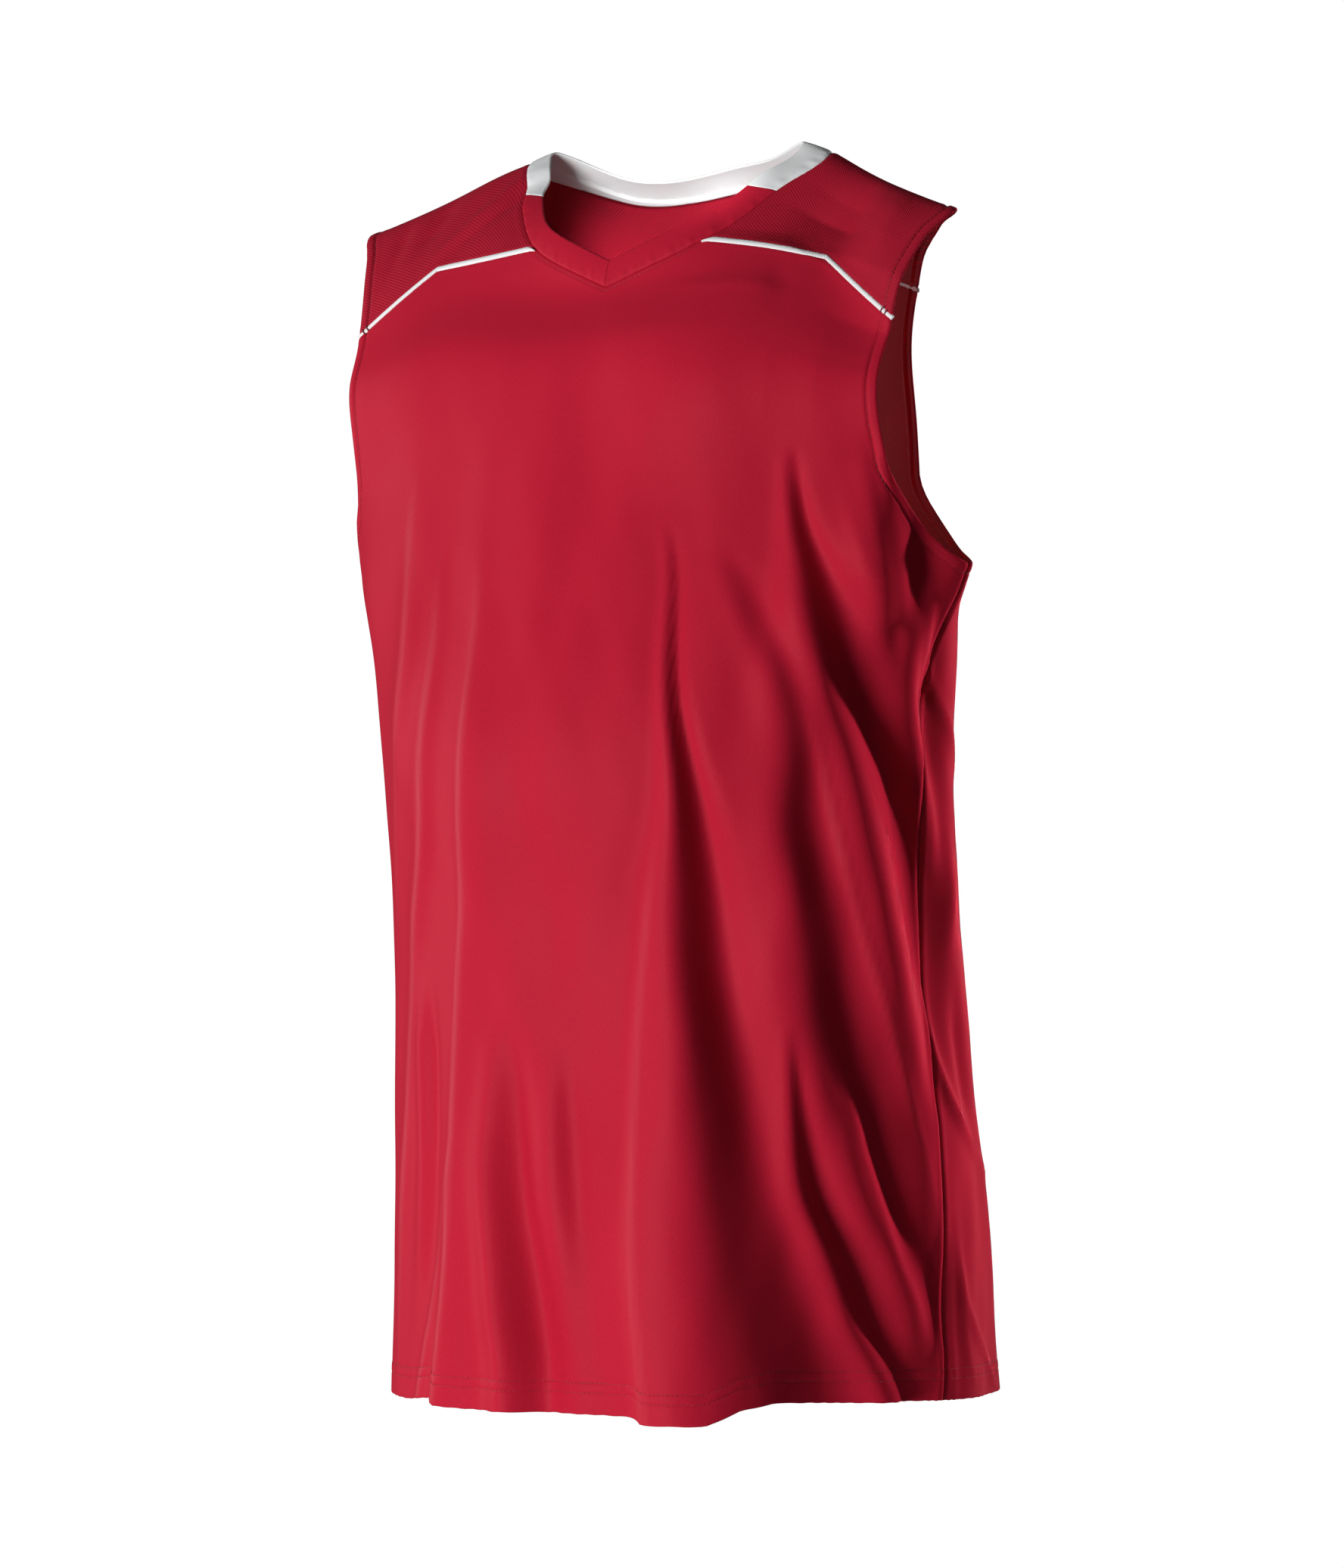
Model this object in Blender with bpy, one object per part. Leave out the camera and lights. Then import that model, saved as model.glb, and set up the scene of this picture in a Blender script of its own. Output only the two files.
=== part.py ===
"""Basketball jersey in its worn shape, as cut-and-sewn cloth pieces with thin solid walls.

+X is the wearer's left, the front faces -Y and +Z is up, in metres.  The origin lies on the
shoulder line at the middle of the neck, where the wearer's shoulders carry the garment.

Every piece is worked out from one cloth form.  A table of sections gives the form from the
shoulder line down to the hem; over the shoulders the front and back close in one saddle.  A place
on the form is (angle, down): the angle from the centre line in radians, and the length of cloth
down from the shoulder line, positive on the front and negative on the back.
"""
import math

import bpy
import numpy as np

# ---- cloth and seams ------------------------------------------------------------------------
WALL = 0.0012               # panel and yoke cloth
TURNED_WALL = 0.0019        # cloth turned up at the hem
BAND_WALL = 0.0020          # folded neck band
PIPING_WALL = 0.0020        # flat piping, a little proud of the cloth
PIPING_WIDTH = 0.0030
SEAM_GAP = 0.0003
BAND_GAP = 0.0006           # along the neckline, where the band stands at an angle to the cloth
HEM_TURNING = 0.019
TURNING_STEP = 0.0008       # the turned cloth ends within this length

# ---- shoulders and neck ---------------------------------------------------------------------
NECK_POINT_X = 0.114        # outer edge of the neck band on the shoulder line
SHOULDER_TIP_X = 0.218
SHOULDER_DROP = 0.042       # from the neck point to the shoulder tip
SHOULDER_FORWARD = 0.016    # the tip lies this far in front of the neck point
RIDGE_ROUNDING = 0.008      # softness of the start of the shoulder slope
UNDERARM_LEVEL = -0.2545
HEM_LEVEL = -0.771
SHOULDER_SPREAD = 0.005     # the wearer's right shoulder reaches this much further out
SPREAD_START_X = 0.090
SPREAD_DEPTH = 0.140        # and evens out this far down the cloth
# The shoulder line and back neck rise and sink by this much, from the wearer's right to the left.
SHOULDER_LINE_COLUMNS = ("x", "rise")
SHOULDER_LINE = ((-0.220, 0.0030), (-0.150, 0.0010), (-0.092, 0.0035), (-0.050, -0.0030),
                 (0.018, 0.0060), (0.045, 0.0040), (0.075, -0.0010), (0.112, -0.0005), (0.143, -0.0025),
                 (0.220, -0.0005))
SHOULDER_LINE_FRONT = 0.035  # the rise fades out this far down the front
SHOULDER_LINE_BACK = 0.100

# ---- section table: one row for each level, the shoulder line first ---------------------------
# Squareness is the exponent of the superellipse of each half; chest_share adds depth in the
# middle of the front below the neck; slope_share is how far a level follows the shoulder slope.
SECTION_COLUMNS = ("level", "half_width", "front_depth", "back_depth", "seam_y",
                   "front_squareness", "back_squareness", "chest_share", "slope_share")
SECTIONS = (
    (0.0000, 0.238, 0.000, 0.000, 0.000, 4.00, 2.20, 0.000, 1.00),
    (-0.006, 0.238, 0.0125, 0.014, 0.000, 4.00, 2.20, 0.000, 1.00),
    (-0.020, 0.238, 0.026, 0.029, 0.000, 4.00, 2.20, 0.000, 1.00),
    (-0.038, 0.237, 0.039, 0.042, 0.000, 4.00, 2.10, 0.008, 1.00),
    (-0.056, 0.237, 0.050, 0.052, 0.000, 3.80, 2.00, 0.016, 0.98),
    (-0.084, 0.235, 0.067, 0.063, 0.000, 3.30, 1.80, 0.006, 0.88),
    (-0.115, 0.233, 0.086, 0.073, -0.001, 3.00, 1.60, 0.003, 0.64),
    (-0.150, 0.231, 0.097, 0.083, -0.003, 2.60, 1.46, 0.002, 0.35),
    (-0.200, 0.228, 0.101, 0.094, -0.007, 2.15, 1.36, 0.001, 0.08),
    (-0.2545, 0.222, 0.109, 0.104, -0.011, 2.00, 1.45, 0.000, 0.00),
    (-0.300, 0.206, 0.127, 0.114, -0.011, 2.00, 1.78, 0.000, 0.00),
    (-0.362, 0.1925, 0.146, 0.113, -0.009, 2.00, 2.15, 0.000, 0.00),
    (-0.463, 0.189, 0.149, 0.109, 0.004, 2.00, 2.30, 0.000, 0.00),
    (-0.555, 0.189, 0.152, 0.118, 0.008, 2.00, 2.30, 0.000, 0.00),
    (-0.648, 0.192, 0.158, 0.132, 0.012, 2.00, 2.30, 0.000, 0.00),
    (HEM_LEVEL, 0.195, 0.158, 0.152, 0.011, 2.00, 2.30, 0.000, 0.00),
)
CHEST_SHARE_WIDTH = 0.090
# Rise of the hem edge above the hem level, by turn in degrees round the body.
HEM_COLUMNS = ("turn", "rise")
HEM = ((-180, 0.006), (-90, 0.003), (-40, 0.003), (-26, 0.007), (-17, 0.0025), (14, 0.0040),
       (19, 0.0040), (23, -0.001), (28, -0.004), (34, 0.000), (40, 0.009), (46, 0.0125), (60, 0.0110),
       (85, 0.0095), (105, 0.008), (180, 0.006))

# ---- seam and edge tables ---------------------------------------------------------------------
# Neckline, the outer edge of the neck band, from the V point to the centre back, with the vector
# from the outer to the inner edge of the band there.
NECKLINE_COLUMNS = ("level", "side", "x", "inwards", "backwards", "upwards")
NECKLINE = (
    (-0.0840, "front", 0.000, 0.0000, 0.0041, 0.0168),
    (-0.0700, "front", 0.035, 0.0055, 0.0036, 0.0150),
    (-0.0560, "front", 0.064, 0.0078, 0.0040, 0.0138),
    (-0.0380, "front", 0.085, 0.0112, 0.0056, 0.0100),
    (-0.0212, "front", 0.0993, 0.0138, 0.0060, 0.0066),
    (0.0000, "front", 0.114, 0.0155, -0.0005, 0.0058),
    (-0.0025, "back", 0.107, 0.0135, -0.0060, 0.0080),
    (-0.0080, "back", 0.089, 0.0098, -0.0098, 0.0094),
    (-0.0165, "back", 0.054, 0.0045, -0.0120, 0.0103),
    (-0.0235, "back", 0.000, 0.0000, -0.0125, 0.0105),
)
BAND_JOINT_STATION = 4      # the seam between the front and back bands leaves the neckline here
BAND_JOINT_SKEW = 0.010     # and runs forward by this much to the inner edge
# Piping lines over a knee to the armhole, by their real height: the front one starts at the
# neckline, the back one runs across from armhole to armhole.
PIPING_COLUMNS = ("x", "height")
FRONT_PIPING = ((0.064, -0.0560), (0.144, -0.0655), (0.199, -0.1070))
BACK_PIPING = ((0.000, -0.0640), (0.105, -0.0700), (0.155, -0.0850))
# The yoke and the neck band share their places along the neckline, so that the seam stays even:
# steps from the front piping to the band joint, the shoulder line, the station whose row runs to
# the yoke's back armhole corner, and the centre back.
YOKE_STATIONS = (4, 5, 7, 9)
YOKE_STEPS = (5, 4, 5, 9)
YOKE_ACROSS = 10            # steps from the neckline to the armhole or the back piping
# Armhole edge: half width at each level, shoulder tip to underarm.
ARMHOLE_COLUMNS = ("level", "front_x", "back_x")
ARMHOLE = (
    (0.0000, 0.2180, 0.2180),
    (-0.012, 0.2130, 0.2000),
    (-0.030, 0.2065, 0.1790),
    (-0.055, 0.2010, 0.1620),
    (-0.080, 0.1985, 0.1520),
    (-0.115, 0.1980, 0.1450),
    (-0.155, 0.1970, 0.1475),
    (-0.190, 0.1985, 0.1510),
)
ARMHOLE_BASE = -0.190       # below this the armhole edge rounds to the side seam
ARMHOLE_ROUNDNESS = {"front": 1.5, "back": 2.0}


def columns(names, rows):
    """The columns of a table of numbers by their names."""
    return dict(zip(names, np.array(rows, float).T))


def splines(rows):
    """Natural cubic splines through table rows: one function of the first column for the rest."""
    knots, values = rows[:, 0], rows[:, 1:]
    gap = np.diff(knots)
    count = len(knots)
    matrix = np.zeros((count, count))
    right = np.zeros_like(values)
    matrix[0, 0] = matrix[-1, -1] = 1.0
    slope = np.diff(values, axis=0) / gap[:, None]
    for i in range(1, count - 1):
        matrix[i, i - 1:i + 2] = gap[i - 1], 2.0 * (gap[i - 1] + gap[i]), gap[i]
        right[i] = 6.0 * (slope[i] - slope[i - 1])
    bend = np.linalg.solve(matrix, right)

    def curve(where):
        where = np.asarray(where, float)
        i = np.clip(np.searchsorted(knots, where) - 1, 0, count - 2)
        h, a, b = gap[i][..., None], (knots[i + 1] - where)[..., None], (where - knots[i])[..., None]
        return ((bend[i] * a ** 3 + bend[i + 1] * b ** 3) / (6.0 * h)
                + (values[i] / h - bend[i] * h / 6.0) * a
                + (values[i + 1] / h - bend[i + 1] * h / 6.0) * b)
    return curve


DENSE = 2000                # samples of a curve that is read backwards
NORMAL_STEP = 0.0004        # in metres of cloth and in radians
SETTLE_ROUNDS = 40          # of a value that is found by repetition


# ---- the cloth form -----------------------------------------------------------------------------
def section_rows():
    """The section table against signed cloth length: back rows, shoulder line, front rows.

    Cloth length and depth are negative on the back, which has no chest share.
    """
    table = columns(SECTION_COLUMNS, SECTIONS)
    mean_depth = 0.5 * (table["front_depth"] + table["back_depth"])
    steps = np.hypot(np.diff(table["level"]), np.diff(mean_depth))
    down = np.concatenate(([0.0], np.cumsum(steps)))
    front, back = (np.column_stack((
        sign * down, table["level"], table["half_width"], sign * table[f"{side}_depth"],
        table["seam_y"], table[f"{side}_squareness"], max(sign, 0.0) * table["chest_share"],
        table["slope_share"])) for side, sign in (("front", 1.0), ("back", -1.0)))
    return np.concatenate((back[:0:-1], front))


SECTION_ROWS = section_rows()
SECTION_CURVE = splines(SECTION_ROWS)
DENSE_DOWN = np.linspace(0.0, SECTION_ROWS[-1, 0], DENSE)
DENSE_LEVEL = SECTION_CURVE(DENSE_DOWN)[:, 0]


def down_at(level, side="front"):
    """Cloth length down from the shoulder line at a level; negative on the back."""
    down = np.interp(-np.asarray(level, float), -DENSE_LEVEL, DENSE_DOWN)
    return down if side == "front" else -down


def past_neck(x):
    """How far a place is out along the shoulder from the neck point, with a soft start."""
    out = np.abs(x) - NECK_POINT_X
    return 0.5 * (out + np.sqrt(out ** 2 + RIDGE_ROUNDING ** 2))


def smooth(t):
    t = np.clip(t, 0.0, 1.0)
    return t * t * (3.0 - 2.0 * t)


RISE_CURVE = splines(np.array(SHOULDER_LINE))
RISE_X = columns(SHOULDER_LINE_COLUMNS, SHOULDER_LINE)["x"]


def shoulder_shift(x, down):
    """How the shoulders and back neck lie off the even form: sideways and up."""
    spread_out = smooth((-x - SPREAD_START_X) / (SHOULDER_TIP_X - SPREAD_START_X))
    aside = -SHOULDER_SPREAD * spread_out * smooth(1.0 - np.abs(down) / SPREAD_DEPTH)
    fade = np.where(down > 0.0, SHOULDER_LINE_FRONT, SHOULDER_LINE_BACK)
    line = RISE_CURVE(np.clip(x, RISE_X[0], RISE_X[-1]))[..., 0]
    return aside, line * smooth(1.0 - np.abs(down) / fade)


def plain_form(angle, down):
    """Points of the cloth form before its folds."""
    level, half_width, depth, seam_y, squareness, chest, slope_share = np.moveaxis(
        SECTION_CURVE(down), -1, 0)
    across = np.sin(angle)
    shape = np.sign(np.cos(angle)) * (
        1.0 - np.minimum(np.abs(across), 1.0) ** squareness + 1e-12) ** (1.0 / squareness)
    x = half_width * across
    out = past_neck(x) / (SHOULDER_TIP_X - NECK_POINT_X) * slope_share
    chest = chest * np.exp(-(x / CHEST_SHARE_WIDTH) ** 2)
    aside, rise = shoulder_shift(x, down)
    return np.stack((x + aside, seam_y - SHOULDER_FORWARD * out - depth * shape - chest,
                     level - SHOULDER_DROP * out + rise), -1)


# Folds.  Turns are degrees round the body: 0 centre front, 90 the wearer's left side seam.  A roll
# rises to a ridge on its lower side and sinks to a trough on the other; a ridge only rises, or
# with a negative height sinks.  Widths are half widths in degrees, heights in metres.
FOLD_COLUMNS = ("kind", "z_top", "z_bottom", "turn_top", "turn_mid", "turn_bottom",
                "width_top", "width_bottom", "height_top", "height_bottom", "fade_in", "fade_out")
FOLDS = (
    # front, wearer's left: the four deep rolls that fall from the chest towards the left seam
    ("roll", -0.235, -0.790, 21.0, 33.0, 50.0, 4.5, 10.0, 0.0045, 0.0115, 0.35, 0.00),
    ("roll", -0.270, -0.740, 36.0, 60.0, 90.0, 4.5, 5.5, 0.0050, 0.0065, 0.30, 0.25),
    ("roll", -0.190, -0.580, 40.0, 72.0, 88.0, 4.5, 7.0, 0.0050, 0.0070, 0.35, 0.30),
    ("roll", -0.540, -0.790, 50.0, 59.0, 80.0, 4.5, 6.0, 0.0035, 0.0065, 0.30, 0.00),
    ("ridge", -0.330, -0.680, 61.0, 76.0, 90.0, 3.5, 4.0, 0.0020, 0.0025, 0.20, 0.25),
    ("ridge", -0.290, -0.520, 75.0, 90.0, 97.0, 4.0, 4.0, 0.0045, 0.0045, 0.30, 0.30),
    # front, wearer's right: shallow rolls and the two folds that step the hem
    ("ridge", -0.200, -0.470, -34.0, -36.0, -48.0, 4.5, 5.0, 0.0030, 0.0020, 0.30, 0.35),
    ("ridge", -0.230, -0.740, -25.0, -33.0, -46.0, 4.5, 4.5, 0.0030, 0.0030, 0.25, 0.20),
    ("ridge", -0.240, -0.790, -14.0, -17.0, -25.0, 4.5, 4.5, 0.0030, 0.0060, 0.25, 0.00),
    ("ridge", -0.400, -0.790, 27.0, 21.0, 24.0, 4.5, 5.0, 0.0035, 0.0070, 0.30, 0.00),
    ("ridge", -0.550, -0.790, -6.0, -5.0, 0.0, 4.5, 6.0, -0.0030, -0.0060, 0.30, 0.00),
    ("ridge", -0.560, -0.790, -34.0, -36.0, -38.0, 4.0, 5.0, -0.0030, -0.0050, 0.30, 0.00),
    ("ridge", -0.300, -0.790, -74.0, -76.0, -74.0, 5.0, 7.0, 0.0030, 0.0045, 0.35, 0.00),
    # back, from the left seam to the right seam
    ("ridge", -0.500, -0.700, 97.0, 100.0, 122.0, 4.5, 6.0, 0.0040, 0.0050, 0.30, 0.30),
    ("ridge", -0.440, -0.800, 116.0, 120.0, 126.0, 8.0, 10.0, 0.0020, 0.0085, 0.35, 0.00),
    ("ridge", -0.400, -0.530, 110.0, 112.0, 110.0, 7.0, 7.0, -0.0045, -0.0045, 0.35, 0.35),
    ("roll", -0.330, -0.790, 140.0, 146.0, 150.0, 4.0, 8.0, -0.0040, -0.0090, 0.35, 0.00),
    ("ridge", -0.280, -0.790, 166.0, 168.0, 172.0, 5.0, 6.5, 0.0035, 0.0080, 0.35, 0.00),
    ("roll", -0.300, -0.790, -164.0, -160.0, -156.0, 4.0, 8.0, 0.0035, 0.0090, 0.35, 0.00),
    ("ridge", -0.380, -0.790, -136.0, -138.0, -134.0, 5.0, 6.5, 0.0035, 0.0080, 0.35, 0.00),
    ("roll", -0.290, -0.790, -112.0, -108.0, -104.0, 4.0, 7.0, 0.0030, 0.0070, 0.35, 0.00),
)


def fold_height(turn, z):
    """Outward height of all folds at a turn in degrees round the body and a height z."""
    total = np.zeros(np.broadcast(turn, z).shape)
    for row in FOLDS:
        fold = dict(zip(FOLD_COLUMNS, row))
        along = np.clip((fold["z_top"] - z) / (fold["z_top"] - fold["z_bottom"]), 0.0, 1.0)
        middle = (fold["turn_top"] * (1 - along) * (1 - 2 * along)
                  + 4 * fold["turn_mid"] * along * (1 - along)
                  + fold["turn_bottom"] * along * (2 * along - 1))
        half = fold["width_top"] * (1 - along) + fold["width_bottom"] * along
        height = fold["height_top"] * (1 - along) + fold["height_bottom"] * along
        height = height * smooth(along / fold["fade_in"])
        if fold["fade_out"] > 0.0:
            height = height * smooth((1 - along) / fold["fade_out"])
        t = ((turn - middle + 180.0) % 360.0 - 180.0) / half
        profile = -t * np.exp(0.5 - 0.5 * t * t) if fold["kind"] == "roll" else np.exp(-t * t)
        total = total + height * profile
    return total


def turn_of(angle, down):
    """Degrees round the body, 0 at centre front and 180 at centre back."""
    degrees = np.degrees(angle)
    return np.where(down >= 0.0, degrees, np.copysign(180.0, degrees) - degrees)


def normals(surface, angle, down):
    """Outward unit normals of a surface function."""
    step = NORMAL_STEP
    across = surface(angle + step, down) - surface(angle - step, down)
    along = surface(angle, down + step) - surface(angle, down - step)
    normal = np.cross(along, across)
    return normal / np.linalg.norm(normal, axis=-1, keepdims=True)


def cloth_form(angle, down):
    """Points of the cloth form with its folds."""
    point = plain_form(angle, down)
    height = fold_height(turn_of(angle, down), point[..., 2])
    return point + normals(plain_form, angle, down) * height[..., None]


def angle_at(x, down):
    """Angle of a place given by its distance from the centre line."""
    return np.arcsin(np.clip(x / SECTION_CURVE(down)[..., 1], -1.0, 1.0))


# ---- edges on the form --------------------------------------------------------------------------
def neck_rows():
    """Stations of the neckline against length along it, carried past the centre back."""
    rows = []
    for values in NECKLINE:
        row = dict(zip(NECKLINE_COLUMNS, values))
        rows.append((float(down_at(row["level"], row["side"])), row["x"], row["inwards"],
                     row["backwards"], row["upwards"]))
    rows += [(down, -x, -inwards, *rest) for down, x, inwards, *rest in rows[-2:-5:-1]]
    table = np.array(rows)
    along = np.hypot(np.diff(table[:, 0]), np.diff(table[:, 1]))
    return np.column_stack((np.concatenate(([0.0], np.cumsum(along))), table))


NECK_ROWS = neck_rows()
NECK_CURVE = splines(NECK_ROWS)
NECK_LENGTH = NECK_ROWS[len(NECKLINE) - 1, 0]
DENSE_ALONG = np.linspace(NECK_LENGTH, 0.0, DENSE)
DENSE_NECK = NECK_CURVE(DENSE_ALONG)


def armhole_rows():
    """Half width of the armhole edge against signed cloth length, from the back to the front."""
    table = columns(ARMHOLE_COLUMNS, ARMHOLE)
    front = np.column_stack((down_at(table["level"]), table["front_x"]))
    back = np.column_stack((down_at(table["level"], "back"), table["back_x"]))
    return np.concatenate((back[:0:-1], front))


ARM_CURVE = splines(armhole_rows())


def armhole_angle(down):
    """Angle of the armhole edge; from its base it sweeps down to 90 degrees at the underarm."""
    front = np.asarray(down) >= 0.0
    base = down_at(ARMHOLE_BASE) * np.where(front, 1.0, -1.0)
    under = down_at(UNDERARM_LEVEL) * np.where(front, 1.0, -1.0)
    upper = np.where(np.abs(down) > np.abs(base), base, down)
    edge = angle_at(ARM_CURVE(upper)[..., 0], upper)
    past = np.clip((down - base) / (under - base), 0.0, 1.0)
    power = np.where(front, ARMHOLE_ROUNDNESS["front"], ARMHOLE_ROUNDNESS["back"])
    sweep = (1.0 - past ** power) ** (1.0 / power)
    return 0.5 * math.pi - (0.5 * math.pi - edge) * sweep


def piping_down(x, line, side):
    """Cloth length of a piping line at a distance from the centre line."""
    table = columns(PIPING_COLUMNS, line)
    xs, heights = table["x"], table["height"]
    slope = (heights[-1] - heights[-2]) / (xs[-1] - xs[-2])
    height = np.where(x > xs[-1], heights[-1] + slope * (x - xs[-1]), np.interp(x, xs, heights))
    down = down_at(height, side)
    for _ in range(SETTLE_ROUNDS):
        slope_share = SECTION_CURVE(down)[..., -1]
        out = past_neck(x) / (SHOULDER_TIP_X - NECK_POINT_X)
        down = down_at(height + SHOULDER_DROP * out * slope_share, side)
    return down


def crossing(gap, low, high):
    """Where a function that is negative at low and positive at high passes zero."""
    for _ in range(SETTLE_ROUNDS):
        middle = 0.5 * (low + high)
        low, high = (middle, high) if gap(middle) < 0.0 else (low, middle)
    return 0.5 * (low + high)


def neck_down(x, side):
    """Cloth length of the neckline at a distance from the centre line."""
    half = DENSE_NECK[DENSE_NECK[:, 0] * (1.0 if side == "front" else -1.0) >= 0.0]
    half = half[np.argsort(half[:, 1])]
    return np.interp(x, half[:, 1], half[:, 0])


def piping_ends(line, side, offset):
    """Where a line beside the piping starts, at the neckline or the centre, and meets the armhole."""
    def past_neckline(x):
        return abs(piping_down(x, line, side) + offset) - abs(neck_down(x, side))

    def past_armhole(x):
        down = piping_down(x, line, side) + offset
        return x - SECTION_CURVE(down)[1] * math.sin(armhole_angle(down))

    knee = line[1][0]
    start = crossing(past_neckline, 0.02, knee) if line[0][0] > 0.0 else 0.0
    return start, crossing(past_armhole, knee, SHOULDER_TIP_X)


# ---- solids -------------------------------------------------------------------------------------
def material(name, colour, roughness):
    finish = bpy.data.materials.new(name)
    finish.use_nodes = True
    shader = finish.node_tree.nodes["Principled BSDF"]
    shader.inputs["Base Color"].default_value = (*colour, 1.0)
    shader.inputs["Roughness"].default_value = roughness
    return finish


def add_wall(name, outer, inner, finish, middle=None):
    """A closed solid between two grids of points, with a rim round their edges.

    Each four-sided cell is split along the diagonal that passes nearer its true middle point, or
    along the shorter one, the same way on both sides so that the wall keeps its thickness.
    """
    rows, columns = outer.shape[:2]
    count = rows * columns
    index = np.arange(count).reshape(rows, columns)
    cells = np.stack((index[:-1, :-1], index[:-1, 1:], index[1:, 1:], index[1:, :-1]), -1)
    flat = outer.reshape(-1, 3)
    a, b, c, d = (flat[cells[..., k]] for k in range(4))
    if middle is None:
        first, second = np.linalg.norm(a - c, axis=-1), np.linalg.norm(b - d, axis=-1)
    else:
        first = np.linalg.norm(0.5 * (a + c) - middle, axis=-1)
        second = np.linalg.norm(0.5 * (b + d) - middle, axis=-1)
    cells = np.where((first <= second)[..., None], cells, np.roll(cells, -1, axis=-1))
    cells = cells.reshape(-1, 4)
    front = np.concatenate((cells[:, (0, 1, 2)], cells[:, (0, 2, 3)]))
    loop = np.concatenate((index[0, :-1], index[:-1, -1], index[-1, :0:-1], index[:0:-1, 0]))
    after = np.roll(loop, -1)
    rim = np.concatenate((np.stack((loop, loop + count, after + count), -1),
                          np.stack((loop, after + count, after), -1)))
    faces = np.concatenate((front, front[:, ::-1] + count, rim))
    points = np.concatenate((flat, inner.reshape(-1, 3)))
    mesh = bpy.data.meshes.new(name)
    mesh.from_pydata(points.tolist(), [], faces.tolist())
    mesh.materials.append(finish)
    piece = bpy.data.objects.new(name, mesh)
    bpy.context.collection.objects.link(piece)
    return piece


def cell_middles(grid):
    return 0.25 * (grid[:-1, :-1] + grid[:-1, 1:] + grid[1:, 1:] + grid[1:, :-1])


def add_cloth(name, angle, down, finish, wall=WALL, turned=None):
    """A wall of cloth on the form, half of it on each side; turned cloth thickens inwards."""
    point, normal = cloth_form(angle, down), normals(cloth_form, angle, down)
    out = 0.5 * wall
    inside = out if turned is None else np.where(turned, TURNED_WALL - out, out)[..., None]
    middle_angle, middle_down = cell_middles(angle), cell_middles(down)
    middle = (cloth_form(middle_angle, middle_down)
              + normals(cloth_form, middle_angle, middle_down) * out)
    return add_wall(name, point + normal * out, point - normal * inside, finish, middle)


def spread(marks, counts):
    """Values from mark to mark, each stretch divided evenly by its count."""
    parts = [np.linspace(a, b, n, endpoint=False) for a, b, n in zip(marks, marks[1:], counts)]
    return np.append(np.concatenate(parts), marks[-1])


def panel_grid(side, line, share_counts, row_counts):
    """Grid of places for a body panel from the hem up to the neckline and piping.

    share_counts gives the steps from the centre to the piping's start if that lies at the
    neckline, its knee and the edge, for the wearer's left and right half; row_counts those of the
    body, armhole curve and chest.
    """
    sign = 1.0 if side == "front" else -1.0
    clear = sign * (0.5 * PIPING_WIDTH + SEAM_GAP)
    start, _ = piping_ends(line, side, clear)

    def top_down(x):
        x = np.abs(x)
        return np.where(x < start, neck_down(x, side), piping_down(x, line, side) + clear)

    def share_of(x):
        down = top_down(np.array(x))
        return float(angle_at(x, down) / armhole_angle(down))

    marks = [0.0] if start == 0.0 else [0.0, share_of(start)]
    marks += [share_of(line[1][0]), 1.0]
    left, right = (spread(marks, counts) for counts in share_counts)
    shares = np.concatenate((-right[:0:-1], left))
    top = np.full(shares.shape, float(down_at(line[0][1], side)))
    for _ in range(SETTLE_ROUNDS):
        width = SECTION_CURVE(top)[..., 1]
        top = top_down(width * np.sin(shares * armhole_angle(top)))

    base, under = down_at(ARMHOLE_BASE, side), down_at(UNDERARM_LEVEL, side)
    turn = turn_of(0.5 * math.pi * shares, np.full(shares.shape, sign))
    table = columns(HEM_COLUMNS, HEM)
    hem = down_at(HEM_LEVEL + np.interp(turn, table["turn"], table["rise"]), side)
    turning = hem - sign * HEM_TURNING
    ramp = np.linspace(0.0, 1.0, row_counts[0] + 1)[:, None]
    body = turning - sign * TURNING_STEP + (under - turning + sign * TURNING_STEP) * ramp
    hems = (hem, 0.5 * (hem + turning), turning)
    sweep = under + (base - under) * np.linspace(0.0, 1.0, row_counts[1] + 1)[1:, None] ** 2
    climb = np.linspace(0.0, 1.0, row_counts[2] + 1)[1:, None]
    down = np.concatenate((hems, body, sweep * np.ones_like(shares), base + (top - base) * climb))
    seam = 0.5 * math.pi - 0.5 * SEAM_GAP / SECTION_CURVE(under)[1]
    reach = np.minimum(np.where(np.abs(down) >= np.abs(under) - 1e-9, seam, armhole_angle(down)),
                       seam)
    turned = np.arange(len(down))[:, None] * np.ones_like(shares) < len(hems)
    return reach * shares, down, turned


def build_panel(side, line, share_counts, row_counts, finish):
    angle, down, turned = panel_grid(side, line, share_counts, row_counts)
    if side == "back":
        angle, down, turned = angle[:, ::-1], down[:, ::-1], turned[:, ::-1]
    return add_cloth(f"{side}_panel", angle, down, finish, turned=turned)


def yoke_front(across):
    """The yoke's edge along the front piping."""
    clear, knee = 0.5 * PIPING_WIDTH + SEAM_GAP, FRONT_PIPING[1][0]
    start, end = piping_ends(FRONT_PIPING, "front", -clear)
    first = max(2, round(across * (knee - start) / (end - start)))
    x = spread((start, knee, end), (first, across - first))
    return np.stack((x, piping_down(x, FRONT_PIPING, "front") - clear), -1)


def neck_places():
    """Lengths along the neckline of the places that the yoke and the neck band share."""
    start = np.interp(yoke_front(YOKE_ACROSS)[0, 1], DENSE_NECK[:, 0], DENSE_ALONG)
    return spread((start, *NECK_ROWS[list(YOKE_STATIONS), 0]), YOKE_STEPS)


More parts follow.
